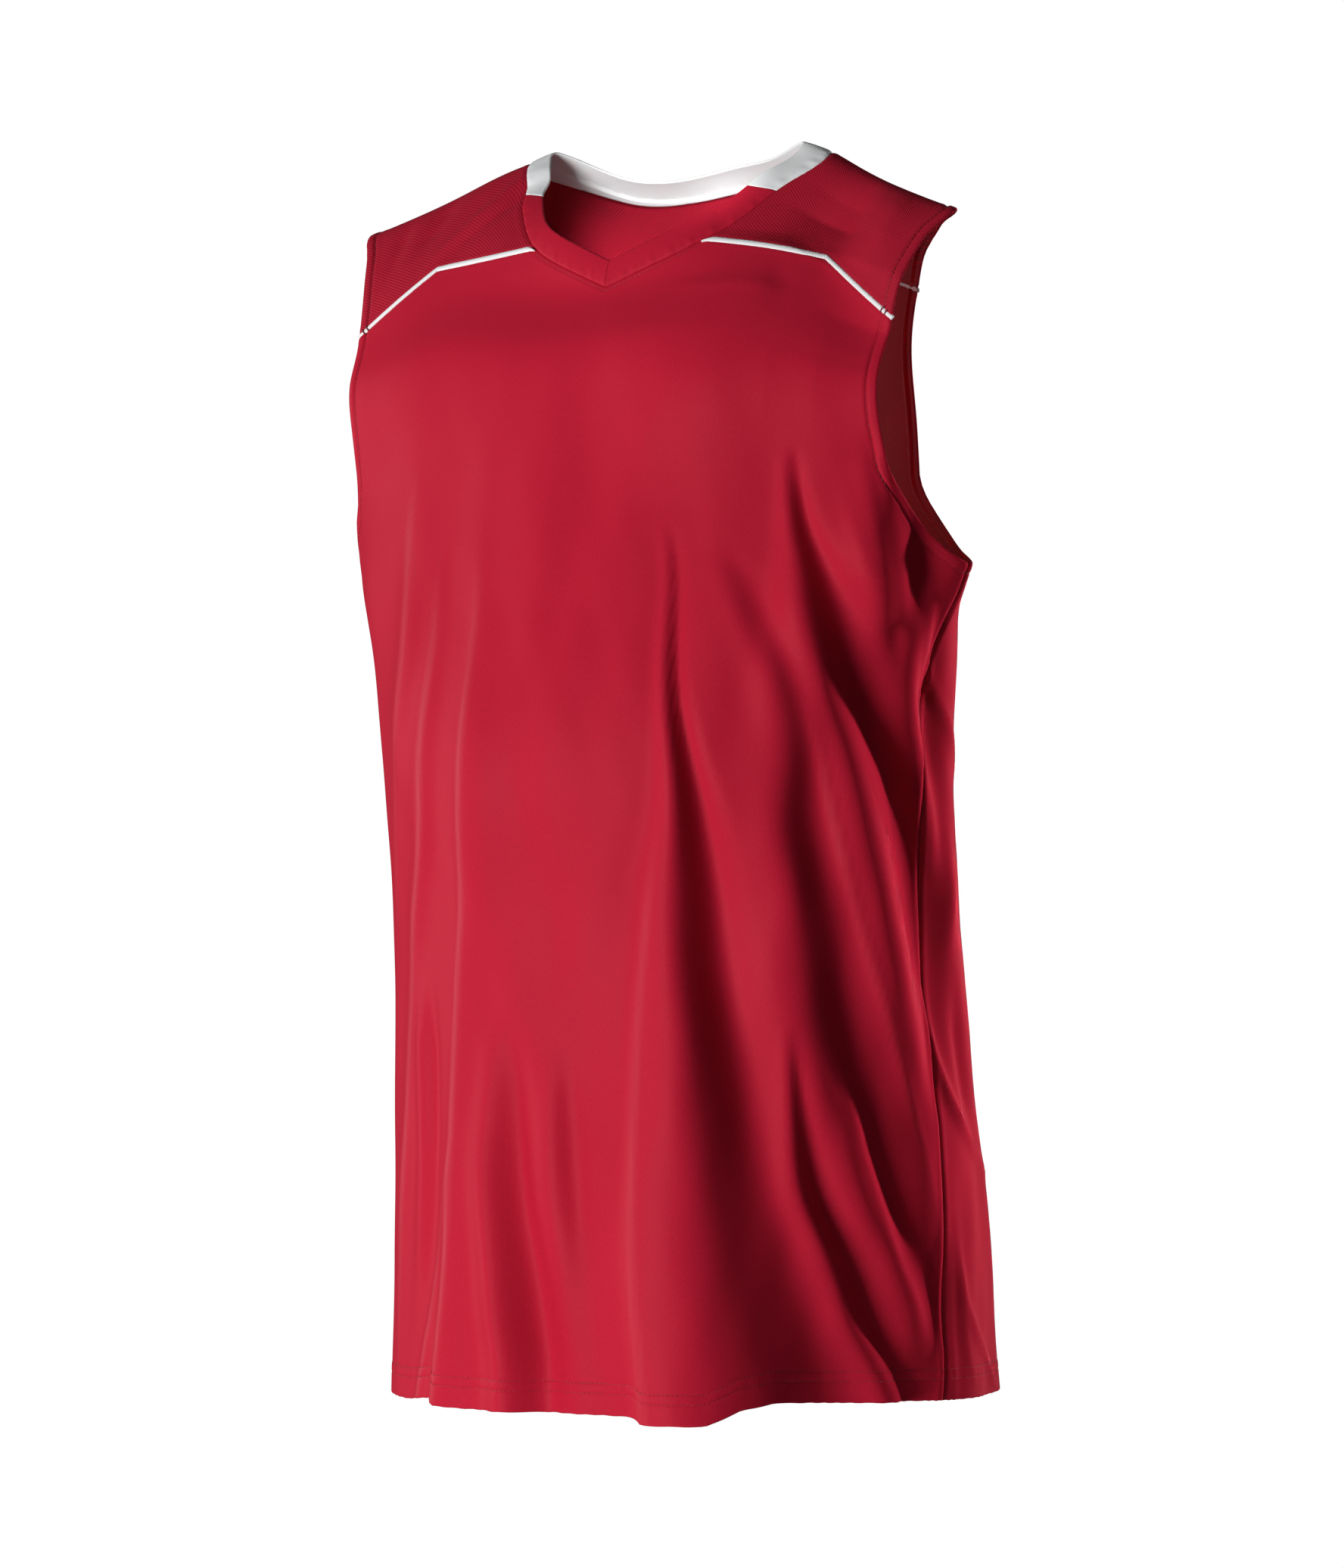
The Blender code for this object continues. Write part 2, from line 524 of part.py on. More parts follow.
def yoke_half():
    """Places of the yoke's left half: rows from the front piping over the shoulder to the centre
    back, columns from the neckline to the armhole or, past its back corner, the back piping."""
    clear = 0.5 * PIPING_WIDTH + SEAM_GAP
    front, neck = yoke_front(YOKE_ACROSS), NECK_CURVE(neck_places())[:, 1::-1]
    _, corner = piping_ends(BACK_PIPING, "back", clear)
    corner_down = piping_down(corner, BACK_PIPING, "back") + clear
    to_shoulder = YOKE_STEPS[0] + YOKE_STEPS[1]
    arm = spread((front[-1, 1], 0.0, corner_down), (to_shoulder, YOKE_STEPS[2]))
    edge_x = SECTION_CURVE(arm)[:, 1] * np.sin(armhole_angle(arm))
    back = np.linspace(corner, 0.0, YOKE_STEPS[3] + 1)[1:]
    piping = piping_down(back, BACK_PIPING, "back") + clear
    outer = np.concatenate((np.stack((edge_x, arm), -1), np.stack((back, piping), -1)))

    s = np.linspace(0.0, 1.0, YOKE_ACROSS + 1)[:, None]
    knee_bend = front - (front[0] + (front[-1] - front[0]) * s)
    fade = np.clip(1.0 - np.arange(len(neck)) / to_shoulder, 0.0, 1.0)[:, None, None]
    return neck[:, None] + (outer - neck)[:, None] * s + knee_bend * fade


def build_yoke(finish):
    """The yoke over both shoulders and across the upper back, in one piece."""
    place = yoke_half()
    place = np.concatenate((place, (place * np.array((-1.0, 1.0)))[-2::-1]))
    x, down = place[..., 0], place[..., 1]
    return add_cloth("yoke", angle_at(x, down), down, finish)


def build_front_piping(name, mirror, finish, across=20):
    """A strip of piping between the front panel and the yoke, from the neckline to the armhole."""
    half, knee, rows = 0.5 * PIPING_WIDTH, FRONT_PIPING[1][0], []
    for offset in (half, -half):
        start, end = piping_ends(FRONT_PIPING, "front", offset)
        first = max(2, round(across * (knee - start) / (end - start)))
        x = spread((start, knee, end), (first, across - first))
        rows.append((x, piping_down(x, FRONT_PIPING, "front") + offset))
    x, down = (np.stack(pair) for pair in zip(*rows))
    if mirror:
        x, down = -x[:, ::-1], down[:, ::-1]
    return add_cloth(name, angle_at(x, down), down, finish, PIPING_WALL)


def build_back_piping(finish, share_counts=(8, 22, 8)):
    """The strip of piping between the back panel and the yoke, from armhole to armhole."""
    half, knee, rows = 0.5 * PIPING_WIDTH, BACK_PIPING[1][0], []
    for offset in (-half, half):
        _, end = piping_ends(BACK_PIPING, "back", offset)
        x = spread((end, knee, -knee, -end), share_counts)
        rows.append((x, piping_down(np.abs(x), BACK_PIPING, "back") + offset))
    x, down = (np.stack(pair) for pair in zip(*rows))
    return add_cloth("piping_back", angle_at(x, down), down, finish, PIPING_WALL)


def band_points(along, inward, hand=1.0):
    """Points of the neck band; inward is 0 at the neckline seam and 1 at the folded edge, hand is
    1 for the wearer's left half and -1 for the right."""
    row = NECK_CURVE(along)
    down, x, vector = row[..., 0], row[..., 1], row[..., 2:] * np.array((-hand, 1.0, 1.0))
    length = np.linalg.norm(vector, axis=-1, keepdims=True)
    share = (BAND_GAP + (length - BAND_GAP) * inward[..., None]) / length
    return cloth_form(hand * angle_at(x, down), down) + vector * share


def band_wall(name, point, finish):
    """A wall of folded neck band on a grid of points that runs along it."""
    normal = np.cross(np.gradient(point, axis=1), np.gradient(point, axis=0))
    normal /= np.linalg.norm(normal, axis=-1, keepdims=True)
    for end in (0, -1):
        if np.ptp(point[end, :, 0]) < 1e-6:
            normal[end, :, 0] = 0.0
    half = 0.5 * BAND_WALL * normal
    add_wall(name, point + half, point - half, finish)


def build_neck_band(front_finish, back_finish, chest_steps=9, across=2):
    """The folded band: a red front half each side of the V and a white piece round the back."""
    inward = np.linspace(0.0, 1.0, across + 1)[None, :]
    seam = NECK_ROWS[BAND_JOINT_STATION, 0]
    joint = seam - BAND_JOINT_SKEW * inward
    places = neck_places()
    chest = np.linspace(0.0, places[0], chest_steps, endpoint=False)
    front_along = np.append(chest, places[:YOKE_STEPS[0] + 1])[:, None]
    back_along = places[YOKE_STEPS[0]:, None]
    back = []
    for name, hand in (("left", 1.0), ("right", -1.0)):
        along = front_along * (joint - SEAM_GAP) / seam
        front = band_points(along, inward + 0.0 * along, hand)
        front[0, :, 0] = 0.5 * SEAM_GAP * hand
        band_wall(f"collar_front_{name}", front[::int(hand)], front_finish)
        along = joint + (back_along - seam) * (NECK_LENGTH - joint) / (NECK_LENGTH - seam)
        back.append(band_points(along, inward + 0.0 * along, hand))
    band_wall("collar_back", np.concatenate((back[0], back[1][-2::-1])), back_finish)


def main():
    for thing in list(bpy.data.objects):
        bpy.data.objects.remove(thing, do_unlink=True)
    red = material("red_satin_knit", (0.52, 0.016, 0.032), 0.5)
    mesh = material("red_mesh_knit", (0.46, 0.016, 0.030), 0.65)
    rib = material("red_rib_mesh", (0.40, 0.014, 0.026), 0.6)
    white = material("white_knit", (0.80, 0.82, 0.84), 0.6)
    build_panel("front", FRONT_PIPING, ((7, 10, 9), (6, 6, 6)), (24, 5, 8), red)
    build_panel("back", BACK_PIPING, ((11, 5), (11, 5)), (24, 5, 7), mesh)
    build_yoke(rib)
    for name, mirror in (("left", False), ("right", True)):
        build_front_piping(f"piping_front_{name}", mirror, white)
    build_back_piping(white)
    build_neck_band(red, white)


main()
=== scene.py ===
"""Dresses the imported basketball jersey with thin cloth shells, soft creases, knits and stitching.

+X is the wearer's left, the front faces -Y and +Z is up, in metres.  A place on the cloth is
(angle, down): the angle from the centre line in radians, and the length of cloth down from the
shoulder line, positive on the front and negative on the back.
"""

import logging
import math
from dataclasses import dataclass, field
from enum import Enum
from typing import Callable, Optional, Sequence

import bpy
import numpy as np
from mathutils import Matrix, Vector
from mathutils.kdtree import KDTree

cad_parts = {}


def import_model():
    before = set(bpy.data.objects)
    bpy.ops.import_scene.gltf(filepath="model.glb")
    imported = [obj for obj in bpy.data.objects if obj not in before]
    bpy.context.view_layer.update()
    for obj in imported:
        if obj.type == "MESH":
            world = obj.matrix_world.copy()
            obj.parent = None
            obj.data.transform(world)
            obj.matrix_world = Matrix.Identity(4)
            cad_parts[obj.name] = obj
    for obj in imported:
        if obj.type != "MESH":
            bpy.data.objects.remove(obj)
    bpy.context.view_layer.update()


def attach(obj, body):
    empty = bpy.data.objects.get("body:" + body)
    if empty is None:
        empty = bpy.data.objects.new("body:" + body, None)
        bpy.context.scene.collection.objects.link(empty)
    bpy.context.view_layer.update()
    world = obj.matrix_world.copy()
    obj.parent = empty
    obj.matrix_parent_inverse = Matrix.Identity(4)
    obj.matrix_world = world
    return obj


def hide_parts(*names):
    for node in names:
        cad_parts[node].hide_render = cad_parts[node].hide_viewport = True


LOG = logging.getLogger("jersey")
Array = np.ndarray
Rows = tuple[tuple[float, ...], ...]
Places = tuple[Array, Array]
Pair = tuple[float, float]
Triple = tuple[float, float, float]
Socket, Material, Object = bpy.types.NodeSocket, bpy.types.Material, bpy.types.Object
# half width of the shine of a crest, in degrees round the body and in metres, and the share of
# its length over which it fades at each end
CREST_DEGREES, CREST_WIDTH, CREST_ENDS = 0.75, 0.0025, 0.2
# how far the gentle and the steep side of a flap reach, in half widths
FLAP_SLOPES = (2.2, 0.55)
# a quarter turn, from the centre line to the side seam
QUARTER = 0.5 * math.pi
HANDS = (("left", 1.0), ("right", -1.0))


class Side(Enum):
    """Front or back of the garment, as the sign of a cloth length."""

    FRONT = 1.0
    BACK = -1.0


class Shape(Enum):
    """Cross-section of a crease."""

    ROLL = "a ridge on its lower side and a trough on the other"
    RIDGE = "one soft ridge, or a trough where its height is negative"
    PINCH = "one ridge with a narrow crest"
    FLAP = "a ridge with a steep drop towards the wearer's right"


class Lie(Enum):
    """How a crease lies, and what the first two numbers of its rows are."""

    DOWN_BODY = "mm below the neck points and turn in degrees; half width in degrees"
    DOWN_CHEST = "cloth length and distance x; half width, all in mm"
    ACROSS_CHEST = "distance x and cloth length; half width, all in mm"


class Hold(Enum):
    """How a cloth piece is held."""

    DRAPED = "draped"
    HUNG = "hung"
    FOLDED = "folded"


# ---- small mathematics ----
def smooth(value: Array) -> Array:
    """Eases from 0 to 1 with level ends."""
    value = np.clip(value, 0.0, 1.0)
    return value * value * (3.0 - 2.0 * value)


def bell(value: Array, middle: float, half: float) -> Array:
    """A bell of height 1 round the middle."""
    return np.exp(-((value - middle) / half) ** 2)


def spread(marks: Sequence[float], counts: Sequence[int]) -> Array:
    """Divides the stretches between marks evenly.

    Args:
        marks: Values in order.
        counts: Steps of each stretch.

    Returns:
        All values from the first mark to the last.
    """
    parts = [np.linspace(a, b, n, endpoint=False) for a, b, n in zip(marks, marks[1:], counts)]
    return np.append(np.concatenate(parts), marks[-1])


def steps(count: int) -> Array:
    """Even shares up to 1, without the 0."""
    return np.linspace(0.0, 1.0, count + 1)[1:]


def eased(count: int, share: float) -> Array:
    """Values from 0 to 1, by a share closer together at both ends."""
    return share * (0.5 - 0.5 * np.cos(np.linspace(0.0, math.pi, count))) + (
        1.0 - share) * np.linspace(0.0, 1.0, count)


def lengths(point: Array) -> Array:
    """Lengths along each row of a grid of points, from 0."""
    step = np.linalg.norm(np.diff(point, axis=1), axis=-1)
    return np.concatenate((np.zeros((len(step), 1)), np.cumsum(step, axis=1)), axis=1)


def linked(name: str, data: bpy.types.ID) -> Object:
    """A new object in the scene, at the origin.

    Args:
        name: Name of the object.
        data: Its mesh, camera or light.

    Returns:
        The object.
    """
    made = bpy.data.objects.new(name, data)
    bpy.context.scene.collection.objects.link(made)
    return made


class Spline:
    """Natural cubic spline through table rows, read by their first column."""

    def __init__(self, rows: Array) -> None:
        """Fits the spline.

        Args:
            rows: Table with rising first column.
        """
        self.knots, self.values = rows[:, 0], rows[:, 1:]
        self.gap = np.diff(self.knots)
        count = len(self.knots)
        matrix = np.zeros((count, count))
        right = np.zeros_like(self.values)
        matrix[0, 0] = matrix[-1, -1] = 1.0
        slope = np.diff(self.values, axis=0) / self.gap[:, None]
        for i in range(1, count - 1):
            matrix[i, i - 1:i + 2] = (self.gap[i - 1], 2.0 * (self.gap[i - 1] + self.gap[i]),
                                      self.gap[i])
            right[i] = 6.0 * (slope[i] - slope[i - 1])
        self.bend = np.linalg.solve(matrix, right)

    def __call__(self, where: Array) -> Array:
        """Reads the columns.

        Args:
            where: Values of the first column.

        Returns:
            The other columns along a new last axis.
        """
        where = np.asarray(where, float)
        i = np.clip(np.searchsorted(self.knots, where) - 1, 0, len(self.knots) - 2)
        h = self.gap[i][..., None]
        a, b = (self.knots[i + 1] - where)[..., None], (where - self.knots[i])[..., None]
        return ((self.bend[i] * a ** 3 + self.bend[i + 1] * b ** 3) / (6.0 * h)
                + (self.values[i] / h - self.bend[i] * h / 6.0) * a
                + (self.values[i + 1] / h - self.bend[i + 1] * h / 6.0) * b)


# ---- creases ----
@dataclass(frozen=True)
class Crease:
    """One crease: rows of place along, place across, half width and height, lengths in mm."""

    shape: Shape
    lie: Lie
    rows: Rows
    shine: float

    def lift(self, turn: Array, z: Array, x: Array, down: Array) -> tuple[Array, Array]:
        """Works out how far the crease lifts the cloth and how near its crest each place is.

        Args:
            turn: Degrees round the body.
            z: Heights.
            x: Distances from the centre line.
            down: Cloth lengths from the shoulder line.

        Returns:
            Outward heights in metres, and shares of the shine of a stretched crest.
        """
        along, across = {Lie.DOWN_BODY: (z, turn), Lie.DOWN_CHEST: (down, x),
                         Lie.ACROSS_CHEST: (x, down)}[self.lie]
        units = (-1000.0, 1.0, 1.0, 1.0) if self.lie is Lie.DOWN_BODY else (1000.0,) * 3 + (1.0,)
        rows = np.array(sorted((np.array(self.rows) / units).tolist()))
        first, last = rows[0, 0], rows[-1, 0]
        inside = (along >= first) & (along <= last)
        where = np.clip(along, first, last)
        middle, half = np.moveaxis(Spline(rows[:, :3])(where), -1, 0)
        half = np.maximum(half, rows[:, 2].min())
        height = np.interp(where, rows[:, 0], rows[:, 3]) * 0.001
        t = across - middle
        if self.lie is Lie.DOWN_BODY:
            t = (t + 180.0) % 360.0 - 180.0
        span = CREST_DEGREES if self.lie is Lie.DOWN_BODY else CREST_WIDTH
        crest = np.exp(-((t + half * (self.shape is Shape.ROLL)) / span) ** 2)
        t = t / half
        if self.shape is Shape.ROLL:
            profile = -t * np.exp(0.5 - 0.5 * t * t)
        elif self.shape is Shape.PINCH:
            profile = np.exp(1.0 - np.sqrt(1.0 + 4.0 * t * t))
        elif self.shape is Shape.FLAP:
            profile = bell(t, 0.0, np.where(t > 0.0, *FLAP_SLOPES))
        else:
            profile = np.exp(-t * t)
        ends = np.minimum(where - first, last - where) / (CREST_ENDS * (last - first))
        return (np.where(inside, height * profile, 0.0),
                np.where(inside, self.shine * crest * smooth(ends), 0.0))


def crease(shape: Shape, *rows: tuple[float, ...], lie: Lie = Lie.DOWN_BODY,
           shine: float = 0.0) -> Crease:
    """One crease, by default down the body and without shine."""
    return Crease(shape, lie, rows, shine)


ROLL, RIDGE, PINCH, FLAP = Shape
FRONT_CREASES = (
    # the deep rolls that fall from the chest towards the wearer's left side
    crease(ROLL, (232, 19, 1, 0), (262, 21.5, 0.9, 1.8), (300, 24.6, 1.1, 3.2), (340, 28, 1.4, 4.6),
           (372, 30.6, 1.9, 6.6), (416, 32, 3.2, 9), (462, 31.8, 4.4, 11), (507, 32.6, 5, 12),
           (553, 35, 6, 13.2), (598, 36.8, 7.2, 15), (643, 38.4, 8.6, 16.8), (689, 40.2, 10, 18.2),
           (734, 42, 11.2, 18.8), (800, 44, 12.2, 19)),
    crease(ROLL, (430, 43, 8, 0), (500, 45, 9, 4), (560, 47.5, 10, 7.6), (600, 50.5, 11, 8.4),
           (660, 57, 13, 9), (720, 60, 14, 9.6), (800, 62, 14, 10.5)),
    crease(ROLL, (250, 30, 2.6, 0), (281, 37.5, 3, 2.2), (327, 49, 3.7, 4.6), (372, 54, 4.8, 6.4),
           (418, 54, 5.4, 7.8), (462, 56.4, 6.2, 9), (507, 58.6, 7, 9.6), (553, 62.6, 7, 9.4),
           (599, 66.8, 6.4, 8.2), (645, 72.5, 5.4, 7), (692, 80, 5, 4.8), (735, 86, 4.6, 0)),
    crease(ROLL, (186, 39.6, 1.1, 0), (213, 40.6, 1.4, 3), (236, 42.6, 2, 5), (282, 51.2, 4.6, 8.8),
           (327, 60.6, 6.4, 10.6), (354, 66, 7.2, 11.2), (376, 70, 7.8, 11.2), (418, 74.6, 8.6, 11),
           (464, 77.6, 9, 10.8), (510, 82, 8.4, 9.4), (554, 85, 5.8, 4.6), (595, 87, 4.6, 0)),
    crease(ROLL, (532, 50, 1.2, 0), (560, 51, 1.5, 2), (598, 52.4, 2.2, 4), (644, 56, 3.1, 5.8),
           (666, 59.8, 3.4, 6.2), (690, 63.4, 4, 6.6), (714, 67.4, 4.4, 6.8), (732, 71.4, 4.6, 6.8),
           (800, 83, 5.2, 6.8)),
    # the cloth turns inwards below the front of the arm
    crease(ROLL, (190, 59, 3.6, 0), (212, 61.4, 5, 5), (230, 63.6, 6.6, 8), (247, 66.4, 7.6, 9.6),
           (264, 69.4, 7.2, 9), (280, 72.4, 6, 5), (298, 76, 4.6, 0)),
    # below the arm the side falls away to the seam
    crease(ROLL, (272, 82, 4, 0), (300, 83.4, 4.8, 3.2), (335, 85.6, 5.4, 5.8), (362, 89.2, 5, 5.6),
           (382, 92, 4.6, 4.6), (415, 94.6, 4.2, 3), (450, 96, 4.2, 0)),
    # narrow ridges between the rolls
    crease(PINCH, (334, 54, 0.8, 0), (358, 57.6, 0.8, 1), (394, 60.6, 0.8, 1.5),
           (440, 63.6, 0.8, 1.7), (481, 67, 0.9, 1.8), (517, 71.4, 1, 1.9), (559, 77.2, 1.2, 1.8),
           (601, 82.6, 1.4, 1.4), (660, 88, 1.6, 0), shine=0.5),
    crease(PINCH, (530, 58.5, 2, 0), (563, 63, 2.1, 1.2), (603, 66.5, 2.2, 1.8), (640, 71, 2.2, 2),
           (673, 75, 2.2, 1.8), (700, 80, 2.2, 1.4), (740, 86.5, 2.2, 0)),
    # the crease under the front of the armhole, and the small ones beside it
    crease(RIDGE, (172, 56, 1.4, 0), (190, 57, 1.5, -1.4), (214, 58.4, 1.6, -1.6),
           (245, 62, 1.8, -1.2), (272, 67, 2, -1.2), (303, 73, 2.2, -1.4), (335, 79, 2.2, 0)),
    crease(RIDGE, (205, 50.5, 1.6, 0), (235, 53.5, 1.7, 1), (270, 60.5, 1.9, 1.1), (305, 69, 2, 0)),
    crease(RIDGE, (262, 77, 1.6, 0), (285, 82, 1.7, 1.2), (312, 85.5, 1.8, 1.4),
           (345, 88.5, 1.8, 0)),
    # faint dips beside the second roll, high on the belly
    crease(RIDGE, (232, 29, 2, 0), (262, 33, 2.1, -0.9), (300, 40.5, 2.4, -1.2), (340, 45, 2.4, 0)),
    crease(RIDGE, (240, 1.5, 2.6, 0), (285, 2.5, 3, -0.9), (330, 3, 2.6, 0)),
    crease(RIDGE, (190, -14.5, 3.2, 0), (240, -12.5, 3.6, -1.1), (300, -11, 3.4, 0)),
    # the wearer's right: long shallow ridges, two of which step the hem
    crease(RIDGE, (185, -33, 4, 0), (206, -34, 4, 1), (278, -34.5, 4.2, 2.2), (348, -38, 4.2, 2.4),
           (418, -45, 4.4, 1.8), (490, -51, 4.6, 0), shine=0.3),
    crease(RIDGE, (220, -23.5, 3.4, 0), (241, -25, 3.4, 1.2), (316, -26.4, 3.6, 2.2),
           (372, -28.8, 3.6, 2.6), (418, -30.6, 3.6, 3), (465, -35.4, 3.8, 3), (558, -40, 3.8, 3.2),
           (653, -44, 3.8, 3), (700, -45.5, 3.8, 2.2), (775, -47, 3.8, 0), shine=0.6),
    crease(FLAP, (225, -15.5, 3.2, 0), (256, -15, 3.4, 1.2), (317, -14.6, 3.6, 2.2),
           (418, -16.6, 3.8, 2.6), (510, -19.8, 3.8, 3.2), (602, -20.6, 3.8, 4),
           (695, -22.2, 3.8, 5.4), (741, -24, 3.8, 7), (850, -27, 3.8, 8), shine=0.55),
    crease(PINCH, (600, -20.5, 1.8, 0), (630, -22.5, 1.8, 1.2), (686, -26.5, 2, 2),
           (744, -32, 2, 2.4), (800, -37, 2, 2), shine=0.55),
    crease(FLAP, (400, 26.5, 3.4, 0), (430, 25.2, 3.4, 0.8), (470, 23.2, 3.4, 1.6),
           (508, 22, 3.4, 2.2), (598, 21, 3.4, 3.2), (689, 21.2, 3.4, 4.4), (757, 23, 3.6, 6),
           (850, 24, 3.6, 7), shine=0.5),
    crease(ROLL, (530, -8.6, 3, 0), (575, -8.2, 3.4, 5), (610, -8.2, 3.6, 8), (650, -7, 3.8, 10.4),
           (690, -5, 4, 12.2), (715, -3.8, 4, 13), (735, -2.8, 4, 12.6), (755, -2.4, 4.2, 11),
           (800, -1.6, 4.4, 10)),
    crease(ROLL, (545, 4.8, 1.8, 0), (578, 5, 1.9, 1.5), (645, 6.6, 2.1, 1.9), (700, 8.6, 2.2, 0)),
    crease(ROLL, (505, -32, 2.2, 0), (548, -31.8, 2.4, 4), (604, -31.4, 2.6, 4.2),
           (680, -32.5, 2.8, 2.4), (730, -34, 2.8, 0)),
    crease(RIDGE, (300, -70, 4.6, 0), (420, -74, 5, 2.4), (600, -77, 5.6, 3.6),
           (800, -74, 6.4, 4.6)),
    # creases that run up to the right underarm
    crease(RIDGE, (200, -62, 2, 0), (232, -64, 2.1, -1.8), (275, -70, 2.4, -2.4),
           (330, -79, 2.8, 0)),
    crease(PINCH, (255, -78, 2, 0), (290, -83, 2.2, 1.8), (340, -88, 2.4, 2), (400, -92, 2.4, 0)),
    # pucker beside the left side seam above the hem
    crease(RIDGE, (640, 88.6, 1.1, 0), (675, 88.9, 1.2, 0.9), (730, 88.6, 1.2, 1.2),
           (800, 88.2, 1.2, 1)),
    crease(RIDGE, (660, 91.6, 1, 0), (690, 91.6, 1.1, 0.8), (740, 91.8, 1.1, 1.1),
           (800, 91.8, 1.1, 0.9)),
    crease(PINCH, (648, 94, 1.4, 0), (690, 94.4, 1.5, 1.5), (725, 95.6, 1.5, 1.6),
           (760, 99, 1.6, 0)),
)
BACK_CREASES = (
    crease(PINCH, (505, 87, 2.2, 0), (541, 90, 2.3, 2.6), (569, 92.8, 2.4, 3.8),
           (590, 97.5, 2.6, 3.6), (613, 108, 3.6, 2), (635, 122, 4.4, 0)),
    crease(RIDGE, (500, 103, 3.2, 0), (540, 102.4, 3.4, -3.2), (578, 105, 3.6, -2.6),
           (610, 110, 3.8, 0)),
    crease(PINCH, (665, 92.5, 1.8, 0), (690, 94.6, 2, 1.6), (713, 97.5, 2.2, 2.2), (744, 110, 3, 2),
           (775, 122, 3.4, 0)),
    crease(PINCH, (296, 84, 2, 0), (322, 91, 2.4, 1.9), (355, 104, 3.4, 2.2), (400, 118, 4, 0)),
    crease(RIDGE, (395, 100, 3, 0), (425, 101, 3.2, 1.6), (465, 100.5, 3.2, 2), (500, 99, 3.2, 0)),
    crease(RIDGE, (440, 115, 7, 0), (560, 118.5, 7.8, 3), (680, 122, 8.6, 6), (800, 126, 9.4, 8.6)),
    crease(RIDGE, (410, 109, 6, 0), (475, 112, 6.6, -3.2), (540, 110.5, 6.6, 0)),
    crease(ROLL, (310, 139, 3, 0), (400, 142, 4, -3.4), (520, 145.5, 5.4, -5.6),
           (650, 148, 6.6, -7.6), (800, 150, 8, -9)),
    crease(RIDGE, (270, 165, 4.6, 0), (390, 167, 5, 3.4), (560, 168.6, 5.6, 5.6),
           (800, 172, 6.5, 8)),
    crease(ROLL, (290, -165, 3.4, 0), (400, -162, 4.4, 4), (560, -159.4, 5.8, 6.4),
           (800, -156, 8, 9)),
    crease(RIDGE, (370, -135, 4.8, 0), (480, -138, 5.2, 3.6), (640, -137.6, 5.8, 6),
           (800, -134, 6.5, 8)),
    crease(ROLL, (275, -113, 3, 0), (360, -110.5, 4, 3), (520, -108, 5.4, 4.8), (800, -104, 7, 7)),
    crease(PINCH, (300, 179, 2.2, 0), (360, 176, 2.4, 1.8), (440, 178.5, 2.6, 1.6),
           (500, 181, 2.6, 0)),
    crease(PINCH, (420, -148, 2.2, 0), (500, -150.5, 2.4, 2), (600, -149, 2.6, 2.2),
           (690, -146, 2.6, 0)),
    crease(PINCH, (560, 158, 2.2, 0), (630, 159, 2.4, 2), (720, 158, 2.6, 2), (790, 157, 2.6, 0)),
    # soft hanging curves between the shoulder blades
    crease(RIDGE, (-135, -120, 16, 0), (-70, -150, 18, 1.9), (0, -163, 20, 2.4),
           (80, -148, 18, 1.8), (140, -116, 16, 0), lie=Lie.ACROSS_CHEST),
    crease(RIDGE, (-125, -165, 15, 0), (-50, -205, 18, -1.7), (20, -212, 18, -2),
           (90, -195, 16, -1.4), (135, -165, 15, 0), lie=Lie.ACROSS_CHEST),
    crease(RIDGE, (-120, -215, 16, 0), (-30, -262, 20, 1.6), (40, -268, 20, 1.8),
           (120, -228, 16, 0), lie=Lie.ACROSS_CHEST),
)
